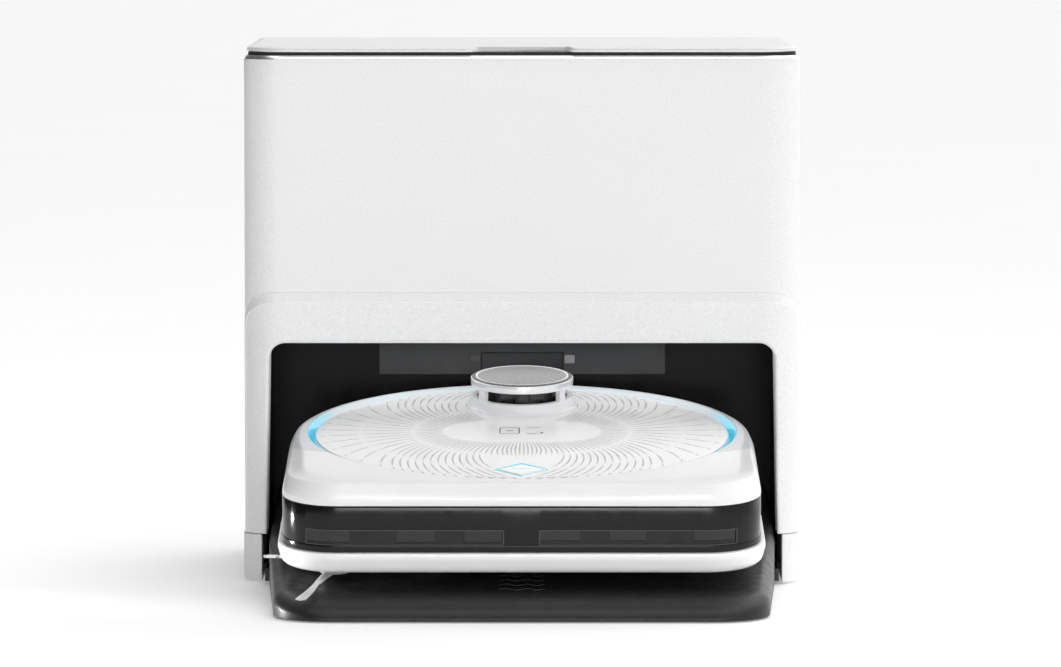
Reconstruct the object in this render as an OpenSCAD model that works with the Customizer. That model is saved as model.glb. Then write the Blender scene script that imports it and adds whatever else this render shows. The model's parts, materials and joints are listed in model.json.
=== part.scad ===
// Robot vacuum cleaner docked in its self-emptying base station.
// Frame: +X right, +Y to the back, +Z up, millimetres. The origin lies on the
// floor under the middle of the whole footprint, ramp included.
// The robot has its own frame: it sits on the ramp, so it leans by the slope.

/* [Station] */
// Width over the front arch
station_w = 412; // [408:1:416]
// Depth of the cabinet behind its front face
station_d = 250; // [248:1:256]
// Height of the closed lid
station_h = 396.5; // [394:0.5:400]
// Radius of the upright corners
corner_r = 27; // [24:1:30]
// How far the upper cabinet stands back from the arch
panel_setback = 4; // [3:0.5:5]
// Thickness of the cabinet walls
skin = 3; // [2.5:0.1:3.5]

/* [Opening] */
// Half width of the opening at its top
opening_half_top = 186; // [184:0.5:187]
// Half width of the opening at the feet
opening_half_low = 189; // [188:0.5:189.5]
// Height of the opening's upper edge
opening_h = 179; // [176:0.5:180]
// Radius of the opening's upper corners
opening_r = 12; // [8:1:20]
// Height of the arch's upper front edge
arch_h = 209; // [206:0.5:211]

/* [Ramp] */
// How far the ramp reaches out in front
ramp_reach = 222; // [220:1:224]
// Slope of the ramp and of the docked robot, in degrees
slope = 7.25; // [7.1:0.05:7.4]
// Half width of the ramp at its front edge
ramp_half_front = 176; // [172:1:180]
// Half width of the ramp where it enters the cabinet
ramp_half_back = 186.5; // [184:0.5:187]
// Radius of the ramp's front corners
ramp_corner_r = 40; // [30:1:45]

/* [Lid] */
// Thickness of the cabinet's lid
lid_t = 3.7; // [3.4:0.1:4]
// Radius of the lid's hinge pins
pin_r = 1.5; // [1.2:0.1:1.7]
// Half distance between the two lid hinges
hinge_x = 130; // [110:5:150]

/* [Robot] */
// Width of the robot's body
robot_w = 340; // [338:1:342]
// Height of the robot's deck above its wheels' contact plane
deck_z = 77; // [76.5:0.1:77.5]
// Radius of the robot's front corners
robot_corner_r = 40; // [36:1:44]
// How far the lower lip stands out of the bumper
lip_out = 3.5; // [3:0.1:4]
// Outer radius of the light ring
ring_r = 157; // [155:0.5:158]
// Distance of the round cover's centre from the robot's front
ring_y = 177; // [175:0.5:179]
// Distance of the laser tower's axis from the robot's front
lidar_y = 268; // [266:0.5:269]
// Radius of the drive wheels over the tyre
wheel_r = 32; // [31:0.5:32]
// Distance of the drive wheels' axis from the robot's front
wheel_y = 177; // [176:0.5:178]

/* [Brushes] */
// Half distance of the side brush's axis from the middle
side_brush_x = 133; // [132:0.5:134]
// Distance of the side brush's axis from the robot's front
side_brush_y = 42; // [41:0.5:43]
// Reach of the side brush's arms
side_brush_r = 80; // [76:1:80]
// Radius of the main roller over its bristles
roller_r = 18; // [17:0.5:18]

/* [Hidden] */
$fn = 96;

// Colours
white = "#f2f2f0";
pale_grey = "#d9dadb";
mid_grey = "#8d9094";
dark_grey = "#43464a";
black = "#17181a";
cyan = "#39d5e6";
steel = "#b9bcc0";

// Fits: running clearance of a shaft, gap between pieces that only pass each other
run_fit = 0.05;
gap = 0.3;

// Station planes
front_y = -(station_d + ramp_reach) / 2;
face_y = front_y + ramp_reach;
back_y = face_y + station_d;
seam_y = face_y + 36;            // where front pieces meet the rear shell
half_w = station_w / 2;
side_inset = 1.2;                // upper cabinet is this much narrower than the arch
foot_h = 38;                     // height of the white skirt round the base
arch_top = arch_h + 6.5;         // upper end of the arch's sloped ledge
bevel_z = station_h - 9.2;       // where the cabinet's upper edge starts to slope
bevel_h = 3.2;
lid_z = station_h - lid_t;
base_z0 = 3;                     // underside of the base plate
base_z1 = 12;                    // top of the base plate
deck_floor = 190;                // top of the floor of the upper compartment
liner_half = opening_half_low + 0.5;
liner_t = 2;
liner_top = opening_h + 4;
cavity_back = 142;               // front face of the cavity's rear wall
hinge_y = back_y - 4;
hinge_z = lid_z;
notch_out = 38.5;                // finger notch of the lid: half widths and inner edge
notch_in = 31.5;
notch_y = face_y + panel_setback + 11;
knuckle_r = 3.4;
knuckle_w = 12;

// Charging pads
pad_x = 30;
pad_z = 98;
pad_r = 7;
pad_front = cavity_back - 15;

// Station blower, with its axis along Y
blower_x = -105;
blower_z = 105;
blower_y = 156;
blower_r = 46;
blower_l = 62;
blower_t = 3;
grille_half = 45;
slat_pitch = 9;
impeller_r = 38;
motor_shaft_r = 3;
inlet_x = 140;                   // mains socket: middle and half sizes
inlet_z = 64;
inlet_hx = 15;
inlet_hz = 12;

// Dust duct from the cavity up to the bag
duct_y = 176;
duct_z = 78;
duct_r = 24;

// Bays of the upper compartment
bay_y0 = seam_y + 4;
bay_y1 = back_y - 10;
tank_x0 = 72;
tank_x1 = 196;
tank_h = 184;
tank_r = 14;                     // upright corners of the tanks
tank_t = 2.5;
neck_x = 134;                    // filling neck
neck_y = 70;
neck_r = 22;
cap_r = 26;
cap_h = 6;
bag_half = 60;
bag_h = 136;
bag_lift = 14;                   // underside of the bag over the deck
collar_t = 5.5;

// Robot's place on the ramp: front of its contact plane
robot_y = front_y + 35.6;
robot_z = 18.3;
body_c = 165;                    // centre of the robot's round back
chassis_z = 12;
lip_z0 = 13;
lip_z1 = 28;
band_z1 = 61;
skirt_z = 61.6;                  // lower edge of the decks
shoulder_z = 64.4;               // where the decks' slope begins
shoulder_in = 5.5;
bumper_end = 118;                // the bumper reaches back to here
bumper_travel = 4;
inner_in = 8;                    // the chassis stands this far inside the bumper
lid_r = ring_r - 6;              // round cover
ring_drop = 3;                   // height of the light ring's sloping face
crown = 1.6;                     // rise of the cover from its rim to its middle
tower_r = 41;                    // foot of the laser tower
tower_hole = 42;
tower_h = 7.2;
cage_r = 38;
cage_in = 33.5;
pillar_angles = [-54, 54, -150, 150];
turret_r = 31;
cap_z0 = 92.3;
cap_z1 = 98.6;
tunnel_y = 128;                  // axis of the main roller
tunnel_z = 19.5;
tunnel_half = 84;
arm_x0 = 85;                     // inner face of the suspension arms
arm_t = 14;
arm_pivot = [wheel_y + 44, 36];
caster_y = 42;
caster_r = 9.8;
caster_z = 10;
caster_trail = 5;
plate_t = 3;                     // bottom plate and walls of the casing
casing_z = 58;                   // top of the wall behind the bumper
window_x0 = 12.7;                // sensor windows: from and to along X
window_x1 = 152;
window_z0 = 33.8;
window_z1 = 44;
window_in = 1.5;                 // depth of the windows' recess
bumper_t = 3;
shaft_r = 2.5;                   // pins that fans and pulleys turn on
axle_r = 3;
pivot_r = 4;
arm_r = 14;
tyre_t = 5;
tread_count = 24;
brush_angle = 256;               // direction of the side brush's first arm
sleeve_l = 46;
core_r = 8;                      // core of the main roller
fin_t = 3;
basin_half = 128;
mop_half = 115;
mop_y0 = 232;
mop_y1 = 300;
mop_z = 5;                       // joint of plate and pad

// ---------- helpers ----------

// Points of an arc, ends included
function arc(c, r, a0, a1, n = 12) =
    [for (i = [0:n]) c + r * [cos(a0 + (a1 - a0) * i / n), sin(a0 + (a1 - a0) * i / n)]];

// Height of the ramp's surface at a place along Y
function ramp_at(y) = robot_z - gap + (y - robot_y) * tan(slope);

// Rounded rectangle from its limits
module plate(x0, x1, y0, y1, r) {
    translate([x0 + r, y0]) square([x1 - x0 - 2 * r, y1 - y0]);
    translate([x0, y0 + r]) square([x1 - x0, y1 - y0 - 2 * r]);
    for (x = [x0 + r, x1 - r], y = [y0 + r, y1 - r]) translate([x, y]) circle(r);
}

// Rounded box from its limits, upright edges rounded
module block(x0, x1, y0, y1, z0, z1, r) {
    translate([0, 0, z0]) linear_extrude(z1 - z0) plate(x0, x1, y0, y1, r);
}

// Plain box from its lowest and highest corners
module box(lo, hi) translate(lo) cube(hi - lo);

// Bar with round ends between two points of a plane
module bar(a, b, r) {
    d = b - a;
    translate(a) {
        circle(r);
        rotate(atan2(d[1], d[0])) translate([0, -r]) square([norm(d), 2 * r]);
    }
    translate(b) circle(r);
}

// Round bars along X and along Y
module rod_x(r, x0, x1, y, z) {
    translate([x0, y, z]) rotate([0, 90, 0]) cylinder(r = r, h = x1 - x0);
}

module rod_y(r, x, y0, y1, z) {
    translate([x, y0, z]) rotate([-90, 0, 0]) cylinder(r = r, h = y1 - y0);
}

// Footprint of the cabinet, drawn in from the sides and from the front
module cabinet(inset, front_inset) {
    plate(-half_w + inset, half_w - inset, face_y + front_inset, back_y - inset,
          corner_r - inset);
}

// Puts its children on the ramp, in the robot's frame
module in_robot() translate([0, robot_y, robot_z]) rotate([slope, 0, 0]) children();

// Outline of the robot, grown outwards
module robot_plan(grow) {
    r = robot_corner_r + grow;
    w = robot_w / 2 + grow;
    intersection() {
        translate([0, body_c]) circle(w);
        translate([-w, body_c]) square([2 * w, w]);
    }
    translate([-w, robot_corner_r]) square([2 * w, body_c - robot_corner_r]);
    translate([-w + r, -grow]) square([2 * (w - r), robot_corner_r + grow]);
    for (s = [-1, 1]) translate([s * (w - r), robot_corner_r]) circle(r);
}

module robot_slab(grow, z0, z1) translate([0, 0, z0]) linear_extrude(z1 - z0) robot_plan(grow);

// Everything in front of, or behind, a distance from the robot's front
module ahead_of(y) box([-300, -60, -20], [300, y, 150]);
module behind(y) box([-300, y, -20], [300, 400, 150]);

// ---------- base and ramp ----------

module base_plate() color(dark_grey) difference() {
    box([-liner_half, face_y + 2, base_z0], [liner_half, back_y - 13, base_z1]);
    for (x = [-150, 150], y = [face_y + 30, back_y - 45])
        translate([x, y, base_z0 - 1]) cylinder(r = 2, h = base_z1);
}

// White skirt: two cheeks beside the ramp, joined behind
module base_skirt() color(white) difference() {
    translate([0, 0, 1.5]) linear_extrude(foot_h - 1.5) cabinet(0, 0);
    box([-liner_half - liner_t, face_y - 1, 0], [liner_half + liner_t, back_y - 12, foot_h + 1]);
}

// Plan of the ramp: tapers a little towards its round front corners
module ramp_plan(inset) {
    xf = ramp_half_front - inset;
    xb = ramp_half_back - inset;
    r = ramp_corner_r - inset;
    yf = front_y + inset;
    right = arc([xf - r, yf + r], r, -90, 0);
    left = arc([-xf + r, yf + r], r, 180, 270);
    polygon(concat(right, [[xb, face_y], [xb, cavity_back - 1], [-xb, cavity_back - 1],
                           [-xb, face_y]], left));
}

// Side view of the ramp, extruded across the whole width
module ramp_profile(drop, z0) {
    rotate([90, 0, 90]) translate([0, 0, -200]) linear_extrude(400)
        polygon(concat([[front_y + drop, z0]],
                       arc([nose_y, ramp_at(nose_y) - nose_r], nose_r - drop, 180, 90 + slope, 6),
                       [[cavity_back, ramp_at(cavity_back) - drop], [cavity_back, z0]]));
}

nose_r = 10;                     // rolled front edge of the ramp
nose_y = front_y + nose_r;
grip_xs = [98, 126];             // wheel tracks
grip_y0 = 12;
grip_y1 = 205;
basin_y0 = 226;                  // washing basin under the mop
basin_y1 = 318;

module grip_strip(x0, x1, z0) box([x0, grip_y0, z0], [x1, grip_y1, -gap]);

module ramp_tray() color(dark_grey) difference() {
    intersection() {
        translate([0, 0, 1]) linear_extrude(80) ramp_plan(0);
        ramp_profile(0, 0);
    }
    // hollow underneath, in front of the cabinet
    intersection() {
        translate([0, 0, -1]) linear_extrude(80) ramp_plan(3);
        ramp_profile(3, -2);
        for (x = [-175, -88, 0.6, 89]) box([x, front_y, -1], [x + 85, face_y, 80]);
    }
    // cut away over the base plate
    box([-200, face_y, 0], [200, cavity_back, base_z1]);
    in_robot() {
        for (s = [-1, 1]) scale([s, 1, 1]) grip_strip(grip_xs[0], grip_xs[1], -gap - 1.5);
        block(-basin_half, basin_half, basin_y0, basin_y1, -10, 5, 10);
    }
}

module ramp_grips() color(black) in_robot() for (s = [-1, 1]) scale([s, 1, 1]) {
    grip_strip(grip_xs[0], grip_xs[1], -gap - 1.5);
}

module rubber_feet() color(black) {
    for (x = [-160, 160], y = [face_y + 18, back_y - 30])
        translate([x, y, 0]) cylinder(r = 11, h = base_z0);
    for (x = [-125, 125]) translate([x, front_y + 60, 0]) cylinder(r = 9, h = 1);
    for (x = [-125, 125]) translate([x, front_y + 60, 1])
        cylinder(r = 4, h = ramp_at(front_y + 60) - 4.4 - 1);
}

// ---------- cabinet ----------

// Opening of the arch, as a prism along Y
module arch_opening(y0, y1) {
    t = opening_half_top;
    r = opening_r;
    translate([0, y1, 0]) rotate([90, 0, 0]) linear_extrude(y1 - y0)
        polygon(concat([[opening_half_low, -1]],
                       arc([t - r, opening_h - r], r, 0, 90), arc([-t + r, opening_h - r], r, 90, 180),
                       [[-opening_half_low, -1]]));
}

module arch_frame() color(white) difference() {
    union() {
        translate([0, 0, foot_h]) linear_extrude(arch_h - foot_h) cabinet(0, 0);
        hull() {
            translate([0, 0, arch_h]) linear_extrude(0.01) cabinet(0, 0, $fn = 64);
            translate([0, 0, arch_top - 0.01]) linear_extrude(0.01)
                cabinet(side_inset, panel_setback, $fn = 64);
        }
    }
    arch_opening(face_y - 1, seam_y + 1);
    // hollow behind the lintel
    box([-half_w + corner_r, face_y + 4, opening_h + 4], [half_w - corner_r, seam_y + 1, arch_h - 1]);
    box([-half_w - 1, seam_y, 0], [half_w + 1, back_y + 1, arch_top + 1]);
}

// Wall of the upper cabinet with its sloped upper edge
module upper_wall(z0) difference() {
    union() {
        translate([0, 0, z0]) linear_extrude(bevel_z - z0) cabinet(side_inset, panel_setback);
        hull() {
            translate([0, 0, bevel_z]) linear_extrude(0.01)
                cabinet(side_inset, panel_setback, $fn = 64);
            translate([0, 0, bevel_z + bevel_h - 0.01]) linear_extrude(0.01)
                cabinet(side_inset + 2, panel_setback + 2, $fn = 64);
        }
    }
    translate([0, 0, z0 - 1]) linear_extrude(station_h)
        cabinet(side_inset + skin, panel_setback + skin);
}

module front_panel() color(white) difference() {
    upper_wall(arch_top);
    box([-half_w - 1, seam_y, 0], [half_w + 1, back_y + 1, station_h + 1]);
}

screw_xs = [-180, 180];
screw_zs = [60, 360];

module rear_shell() color(white) difference() {
    union() {
        difference() {
            upper_wall(foot_h);
            box([-half_w - 1, face_y - 1, 0], [half_w + 1, seam_y, station_h + 1]);
            // the rear edge stays low, under the lid's hinge
            box([-half_w - 1, back_y - 12, bevel_z], [half_w + 1, back_y + 1, station_h]);
        }
        // hinge knuckles on two posts
        for (s = [-1, 1], k = [-1, 1]) {
            x = s * hinge_x + k * (knuckle_w + 0.4) - knuckle_w / 2;
            rod_x(knuckle_r, x, x + knuckle_w, hinge_y, hinge_z);
            box([x, hinge_y - knuckle_r, bevel_z - 6],
                [x + knuckle_w, hinge_y + knuckle_r - 0.7, hinge_z]);
        }
    }
    for (s = [-1, 1])
        rod_x(pin_r, s * hinge_x - 25, s * hinge_x + 25, hinge_y, hinge_z);
    // air outlet, mains socket and screw holes in the back
    box([blower_x - grille_half, back_y - 8, blower_z - grille_half],
        [blower_x + grille_half, back_y + 1, blower_z + grille_half]);
    box([inlet_x - inlet_hx, back_y - 8, inlet_z - inlet_hz],
        [inlet_x + inlet_hx, back_y + 1, inlet_z + inlet_hz]);
    for (x = screw_xs, z = screw_zs) rod_y(2, x, back_y - 8, back_y + 1, z);
}

module cavity_liner() color(black) difference() {
    box([-liner_half - liner_t, seam_y, base_z1],
        [liner_half + liner_t, cavity_back + liner_t, liner_top]);
    box([-liner_half, seam_y - 1, base_z1 - 1], [liner_half, cavity_back, liner_top - liner_t]);
    for (s = [-1, 1]) rod_y(pad_r + gap, s * pad_x, cavity_back - 1, cavity_back + 4, pad_z);
    rod_y(duct_r - 3, 0, cavity_back - 1, cavity_back + 4, duct_z);
}

// Panel over the docked robot, with a shallow recess for the beacon
module dock_panel() color(dark_grey) difference() {
    box([-109, cavity_back - 8, 143], [109, cavity_back, liner_top - liner_t]);
    box([-31, cavity_back - 9, 142], [31, cavity_back - 5, 160]);
}

module charge_pad(s) color(steel) {
    rod_y(pad_r, s * pad_x, pad_front, cavity_back + 5, pad_z);
    rod_y(pad_r + 2, s * pad_x, cavity_back + liner_t + gap, cavity_back + 5, pad_z);
}
module charge_pad_left() charge_pad(-1);
module charge_pad_right() charge_pad(1);

// Floor of the upper compartment
module inner_deck() color(pale_grey) difference() {
    translate([0, 0, deck_floor - 4]) linear_extrude(4) intersection() {
        cabinet(side_inset + skin, 0);
        translate([-half_w, seam_y]) square([station_w, station_d]);
    }
    translate([0, duct_y, deck_floor - 10]) cylinder(r = duct_r + 0.2, h = 20);
}

module lid_gasket() color(black) difference() {
    z1 = lid_z - gap;
    translate([0, 0, bevel_z - 2]) linear_extrude(z1 - bevel_z + 2)
        cabinet(side_inset + skin, panel_setback + skin);
    translate([0, 0, bevel_z - 3]) linear_extrude(20) cabinet(side_inset + 8, panel_setback + 8);
    box([-half_w, back_y - 12, bevel_z - 3], [half_w, back_y, station_h]);
}

// ---------- lid ----------

module lid() color(white) difference() {
    union() {
        translate([0, 0, lid_z]) linear_extrude(lid_t) cabinet(0.6, panel_setback - 0.6);
        // stiffening skirt
        difference() {
            translate([0, 0, bevel_z]) linear_extrude(lid_z - bevel_z + 0.1)
                cabinet(side_inset + 12, panel_setback + 14);
            translate([0, 0, bevel_z - 1]) linear_extrude(20)
                cabinet(side_inset + 14.5, panel_setback + 16.5);
            box([-half_w, back_y - 20, 0], [half_w, back_y, lid_z - 0.01]);
        }
        for (s = [-1, 1])
            rod_x(knuckle_r, s * hinge_x - knuckle_w / 2, s * hinge_x + knuckle_w / 2,
                  hinge_y, hinge_z);
    }
    for (s = [-1, 1]) {
        rod_x(pin_r + run_fit, s * hinge_x - 30, s * hinge_x + 30, hinge_y, hinge_z);
        // room for the knuckles of the rear shell
        for (k = [-1, 1]) {
            x = s * hinge_x + k * (knuckle_w + 0.4) - knuckle_w / 2;
            box([x - 0.4, hinge_y - knuckle_r - 1.5, lid_z - 10],
                [x + knuckle_w + 0.4, back_y + 1, station_h + 1]);
        }
    }
    // finger notch in the front edge
    translate([0, 0, lid_z - 1]) linear_extrude(lid_t + 2)
        polygon([[-notch_out, face_y - 1], [-notch_out, face_y + panel_setback - 0.6],
                 [-notch_in, notch_y], [notch_in, notch_y],
                 [notch_out, face_y + panel_setback - 0.6], [notch_out, face_y - 1]]);
}

module hinge_pins() color(steel) for (s = [-1, 1])
    rod_x(pin_r, s * hinge_x - 18, s * hinge_x + 18, hinge_y, hinge_z);

// ---------- inside the station ----------

// Water tank with a filling neck on top
module tank(s) {
    x0 = s > 0 ? tank_x0 : -tank_x1;
    x1 = s > 0 ? tank_x1 : -tank_x0;
    z1 = deck_floor + tank_h;
    difference() {
        block(x0, x1, bay_y0, bay_y1 - 6, deck_floor, z1, tank_r);
        block(x0 + tank_t, x1 - tank_t, bay_y0 + tank_t, bay_y1 - 6 - tank_t,
              deck_floor + tank_t, z1 - tank_t, tank_r - 3);
        translate([s * neck_x, neck_y, z1 - 10]) cylinder(r = neck_r, h = 20);
    }
}
module clean_tank() color("#a9c8d4") tank(-1);
module dirty_tank() color("#8a9094") tank(1);

module tank_cap() {
    cylinder(r = cap_r, h = cap_h);
    translate([0, 0, -cap_h]) cylinder(r = neck_r - 0.2, h = cap_h + 0.1);
    translate([-neck_r, -2.5, cap_h]) cube([2 * neck_r, 5, 4]);
}

module tank_caps() color(dark_grey)
    for (s = [-1, 1]) translate([s * neck_x, neck_y, deck_floor + tank_h]) tank_cap();

module dust_bag() color("#e4e0d6")
    block(-bag_half, bag_half, bay_y0 + 6, bay_y1 - 8, deck_floor + bag_lift,
          deck_floor + bag_lift + bag_h, 26);

module bag_collar() color("#c9a878") difference() {
    block(-50, 50, duct_y - 42, duct_y + 42, deck_floor + 8, deck_floor + 8 + collar_t, 8);
    translate([0, duct_y, deck_floor]) cylinder(r = duct_r + 0.2, h = 20);
}

// Duct from the cavity's rear wall up to the bag
module dust_duct() color(mid_grey) difference() {
    union() {
        translate([0, duct_y, duct_z - duct_r])
            cylinder(r = duct_r, h = deck_floor + 12 - duct_z + duct_r);
        rod_y(duct_r, 0, cavity_back + liner_t, duct_y, duct_z);
    }
    translate([0, duct_y, duct_z - duct_r + 3]) cylinder(r = duct_r - 3, h = 300);
    rod_y(duct_r - 3, 0, cavity_back, duct_y, duct_z);
}

module fan_housing() color(mid_grey) difference() {
    union() {
        rod_y(blower_r, blower_x, blower_y, blower_y + blower_l, blower_z);
        box([blower_x - 12, blower_y + 6, base_z1],
            [blower_x + 12, blower_y + blower_l - 6, blower_z - 20]);
    }
    rod_y(blower_r - blower_t, blower_x, blower_y + blower_t, blower_y + blower_l + 1, blower_z);
    rod_y(16, blower_x, blower_y - 1, blower_y + 5, blower_z);
}

module fan_impeller() color(black) difference() {
    union() {
        rod_y(impeller_r + 2, blower_x, blower_y + 20, blower_y + 23, blower_z);
        rod_y(9, blower_x, blower_y + 10, blower_y + 44, blower_z);
        for (i = [0:8]) translate([blower_x, 0, blower_z]) rotate([0, i * 40, 0])
            box([8, blower_y + 8, -1], [impeller_r, blower_y + 20.5, 1]);
    }
    rod_y(motor_shaft_r + run_fit, blower_x, blower_y, blower_y + 60, blower_z);
}

// Grille in the back, with the stator that carries the blower's shaft
module exhaust_grille() color(pale_grey) {
    difference() {
        box([blower_x - grille_half, back_y - 6.2, blower_z - grille_half],
            [blower_x + grille_half, back_y - side_inset, blower_z + grille_half]);
        for (i = [-4:4]) translate([blower_x, back_y, blower_z + i * slat_pitch])
            box([7 - grille_half, -7, -2.5], [grille_half - 7, 0, 2.5]);
    }
    rod_y(12, blower_x, blower_y + 46, back_y - 6, blower_z);
    rod_y(motor_shaft_r, blower_x, blower_y + 6, blower_y + 47, blower_z);
}

module power_board() color("#2f6b4f") {
    box([60, 166, 44], [172, 168, 150]);
    box([70, 168, 60], [112, 192, 96]);
    box([122, 168, 96], [160, 186, 140]);
    for (x = [78, 96]) rod_y(7, x, 168, 190, 122);
    for (x = [64, 164]) box([x, 163, base_z1], [x + 4, 166, 60]);
}

module power_inlet() color(black) difference() {
    union() {
        box([inlet_x - inlet_hx, back_y - 26, inlet_z - inlet_hz],
            [inlet_x + inlet_hx, back_y - side_inset, inlet_z + inlet_hz]);
        box([inlet_x - inlet_hx - 3, back_y - 7, inlet_z - inlet_hz - 3],
            [inlet_x + inlet_hx + 3, back_y - side_inset - skin, inlet_z + inlet_hz + 3]);
    }
    translate([inlet_x, back_y + 1, inlet_z]) rotate([90, 0, 0]) linear_extrude(17)
        bar([-5, 0], [5, 0], 5.5);
}

module station_screws() color(steel) for (x = screw_xs, z = screw_zs) {
    rod_y(1.9, x, back_y - 10, back_y - side_inset, z);
    difference() {
        rod_y(3.6, x, back_y - side_inset, back_y, z);
        box([x - 2.5, back_y - 0.6, z - 0.5], [x + 2.5, back_y + 1, z + 0.5]);
    }
}

// ---------- robot: casing ----------

// Well in the bottom plate
module well(x0, x1, y0, y1) box([x0, y0, chassis_z - 5], [x1, y1, chassis_z + 8]);

wall_y = bumper_end + bumper_travel + 1;  // the casing's own wall starts here
wall_in = -2.5;
fan_y = 195;                     // axis of the suction fan
pulley_at = [46, lidar_y - 22];  // axis of the turret's drive pulley
post_x = arm_x0 - 6;             // posts that carry the suspension

module chassis() color(white) in_robot() difference() {
    union() {
        // bottom plate: drawn in beneath the bumper, full size behind it
        robot_slab(-inner_in, chassis_z, chassis_z + plate_t);
        intersection() {
            difference() {
                robot_slab(0, chassis_z, band_z1);
                robot_slab(wall_in, chassis_z + plate_t, band_z1 + 1);
            }
            behind(wall_y);
        }
        // wall behind the bumper, joined to the outer wall
        intersection() {
            difference() {
                robot_slab(-inner_in, chassis_z, casing_z);
                robot_slab(-inner_in + wall_in, chassis_z + plate_t, casing_z + 1);
            }
            ahead_of(wall_y + 3);
        }
        for (s = [-1, 1]) scale([s, 1, 1])
            box([159.5, wall_y, chassis_z], [169, wall_y + 3, casing_z]);
        // tunnel of the main roller
        box([-tunnel_half - 3, 106, chassis_z], [tunnel_half + 3, 150, 43]);
        // posts and pins of the suspension
        for (s = [-1, 1]) scale([s, 1, 1]) {
            box([post_x, arm_pivot[0] - 9, chassis_z],
                [post_x + 5, arm_pivot[0] + 9, arm_pivot[1] + 9]);
            rod_x(pivot_r, post_x + 4, arm_x0 + arm_t + 2, arm_pivot[0], arm_pivot[1]);
        }
        // shaft of the side brush, boss of the caster, pot of the suction fan
        translate([-side_brush_x, side_brush_y, 3]) cylinder(r = axle_r, h = 10);
        translate([0, caster_y, chassis_z]) cylinder(r = 24, h = 30);
        difference() {
            translate([0, fan_y, chassis_z]) cylinder(r = 32, h = 40);
            translate([0, fan_y, chassis_z + plate_t]) cylinder(r = 29, h = 50);
        }
        translate([0, fan_y, chassis_z]) cylinder(r = shaft_r, h = 28);
        // post of the turret's drive pulley
        translate([pulley_at[0], pulley_at[1], chassis_z]) cylinder(r = shaft_r, h = 60);
    }
    // roller, drive wheels, caster
    box([-tunnel_half, 108.5, 0], [tunnel_half, 147.5, 40.5]);
    for (s = [-1, 1]) scale([s, 1, 1]) well(arm_x0 + arm_t - 0.5, 125, wheel_y - 36, wheel_y + 36);
    translate([0, caster_y, 0]) cylinder(r = 20, h = 27);
    translate([0, caster_y, 20]) cylinder(r = 5 + run_fit, h = 19);
    rod_x(axle_r + run_fit, -tunnel_half - 5, tunnel_half + 5, tunnel_y, tunnel_z);
}

// Body of both decks: a low dish with sloped shoulders
module deck_dish() difference() {
    union() {
        robot_slab(0, skirt_z, shoulder_z);
        hull() {
            translate([0, 0, shoulder_z]) linear_extrude(0.01) robot_plan(0, $fn = 72);
            translate([0, 0, deck_z - 0.01]) linear_extrude(0.01) robot_plan(-shoulder_in, $fn = 72);
        }
    }
    robot_slab(-inner_in + 0.5, skirt_z - 1, deck_z - 7);
    translate([0, ring_y, deck_z - 4]) cylinder(r = ring_r + 0.2, h = 20);
    translate([0, ring_y, skirt_z - 5]) cylinder(r = lid_r - 3, h = 40);
}

seam_out = [170, 119];           // the decks meet along a slanted line
seam_in = [140, 101];

module deck_cut() translate([0, 0, -10]) linear_extrude(150)
    polygon([[-300, -60], [300, -60], [300, seam_out[1]], seam_out, seam_in,
             [-seam_in[0], seam_in[1]], [-seam_out[0], seam_out[1]], [-300, seam_out[1]]]);

module front_deck() color(white) in_robot() intersection() {
    deck_dish();
    deck_cut();
}

module top_shell() color(pale_grey) in_robot() difference() {
    deck_dish();
    deck_cut();
}

// Light guide whose lit face slopes down towards the cover
module light_ring() color(cyan) in_robot() difference() {
    translate([0, ring_y, deck_z - 4]) cylinder(r = ring_r, h = 3.8);
    translate([0, ring_y, deck_z - 5]) cylinder(r = lid_r + gap, h = 6);
    translate([0, ring_y, deck_z - ring_drop]) cylinder(r1 = lid_r + gap, r2 = ring_r, h = ring_drop);
}

button_y = 56.5;                 // middle of the lozenge-shaped button
button_half = 19;

module lozenge(half) polygon([[0, -half], [half, 0], [0, half], [-half, 0]]);

module disc_lid() color(white) in_robot() difference() {
    translate([0, ring_y, deck_z - 4 + gap]) {
        cylinder(r = lid_r, h = 4 - gap - ring_drop + 0.6);
        cylinder(r1 = lid_r, r2 = lid_r - 90, h = 4 - gap - ring_drop + 0.6 + crown);
    }
    translate([0, lidar_y, deck_z - 10]) cylinder(r = tower_hole, h = 20);
    translate([0, button_y, deck_z - 10]) linear_extrude(20) lozenge(button_half + gap);
}

module start_button() color(white) in_robot() {
    translate([0, button_y, deck_z - 3.6]) linear_extrude(2.2) lozenge(button_half - 0.4);
}

// ---------- robot: bumper ----------

// Slot of a sensor window in the bumper
module window_cut() for (s = [-1, 1])
    box([s > 0 ? window_x0 : -window_x1, -5, window_z0],
        [s > 0 ? window_x1 : -window_x0, 40, window_z1]);

module bumper_band(grow_out, grow_in, z0, z1) difference() {
    intersection() {
        robot_slab(grow_out, z0, z1);
        ahead_of(bumper_end);
    }
    robot_slab(grow_in, z0 - 1, z1 + 1);
}

module bumper() color(black) in_robot() difference() {
    bumper_band(0, -bumper_t, lip_z1, band_z1);
    intersection() {
        difference() {
            robot_slab(2, 0, 80);
            robot_slab(-window_in, -1, 81);
        }
        window_cut();
    }
}

module bumper_windows() color(dark_grey) in_robot() intersection() {
    difference() {
        robot_slab(0.9 - window_in, window_z0, window_z1);
        robot_slab(-window_in, 30, 50);
    }
    window_cut();
}

module bumper_lip() color(white) in_robot() bumper_band(lip_out, -bumper_t, lip_z0, lip_z1);

// ---------- robot: laser tower ----------

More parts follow.
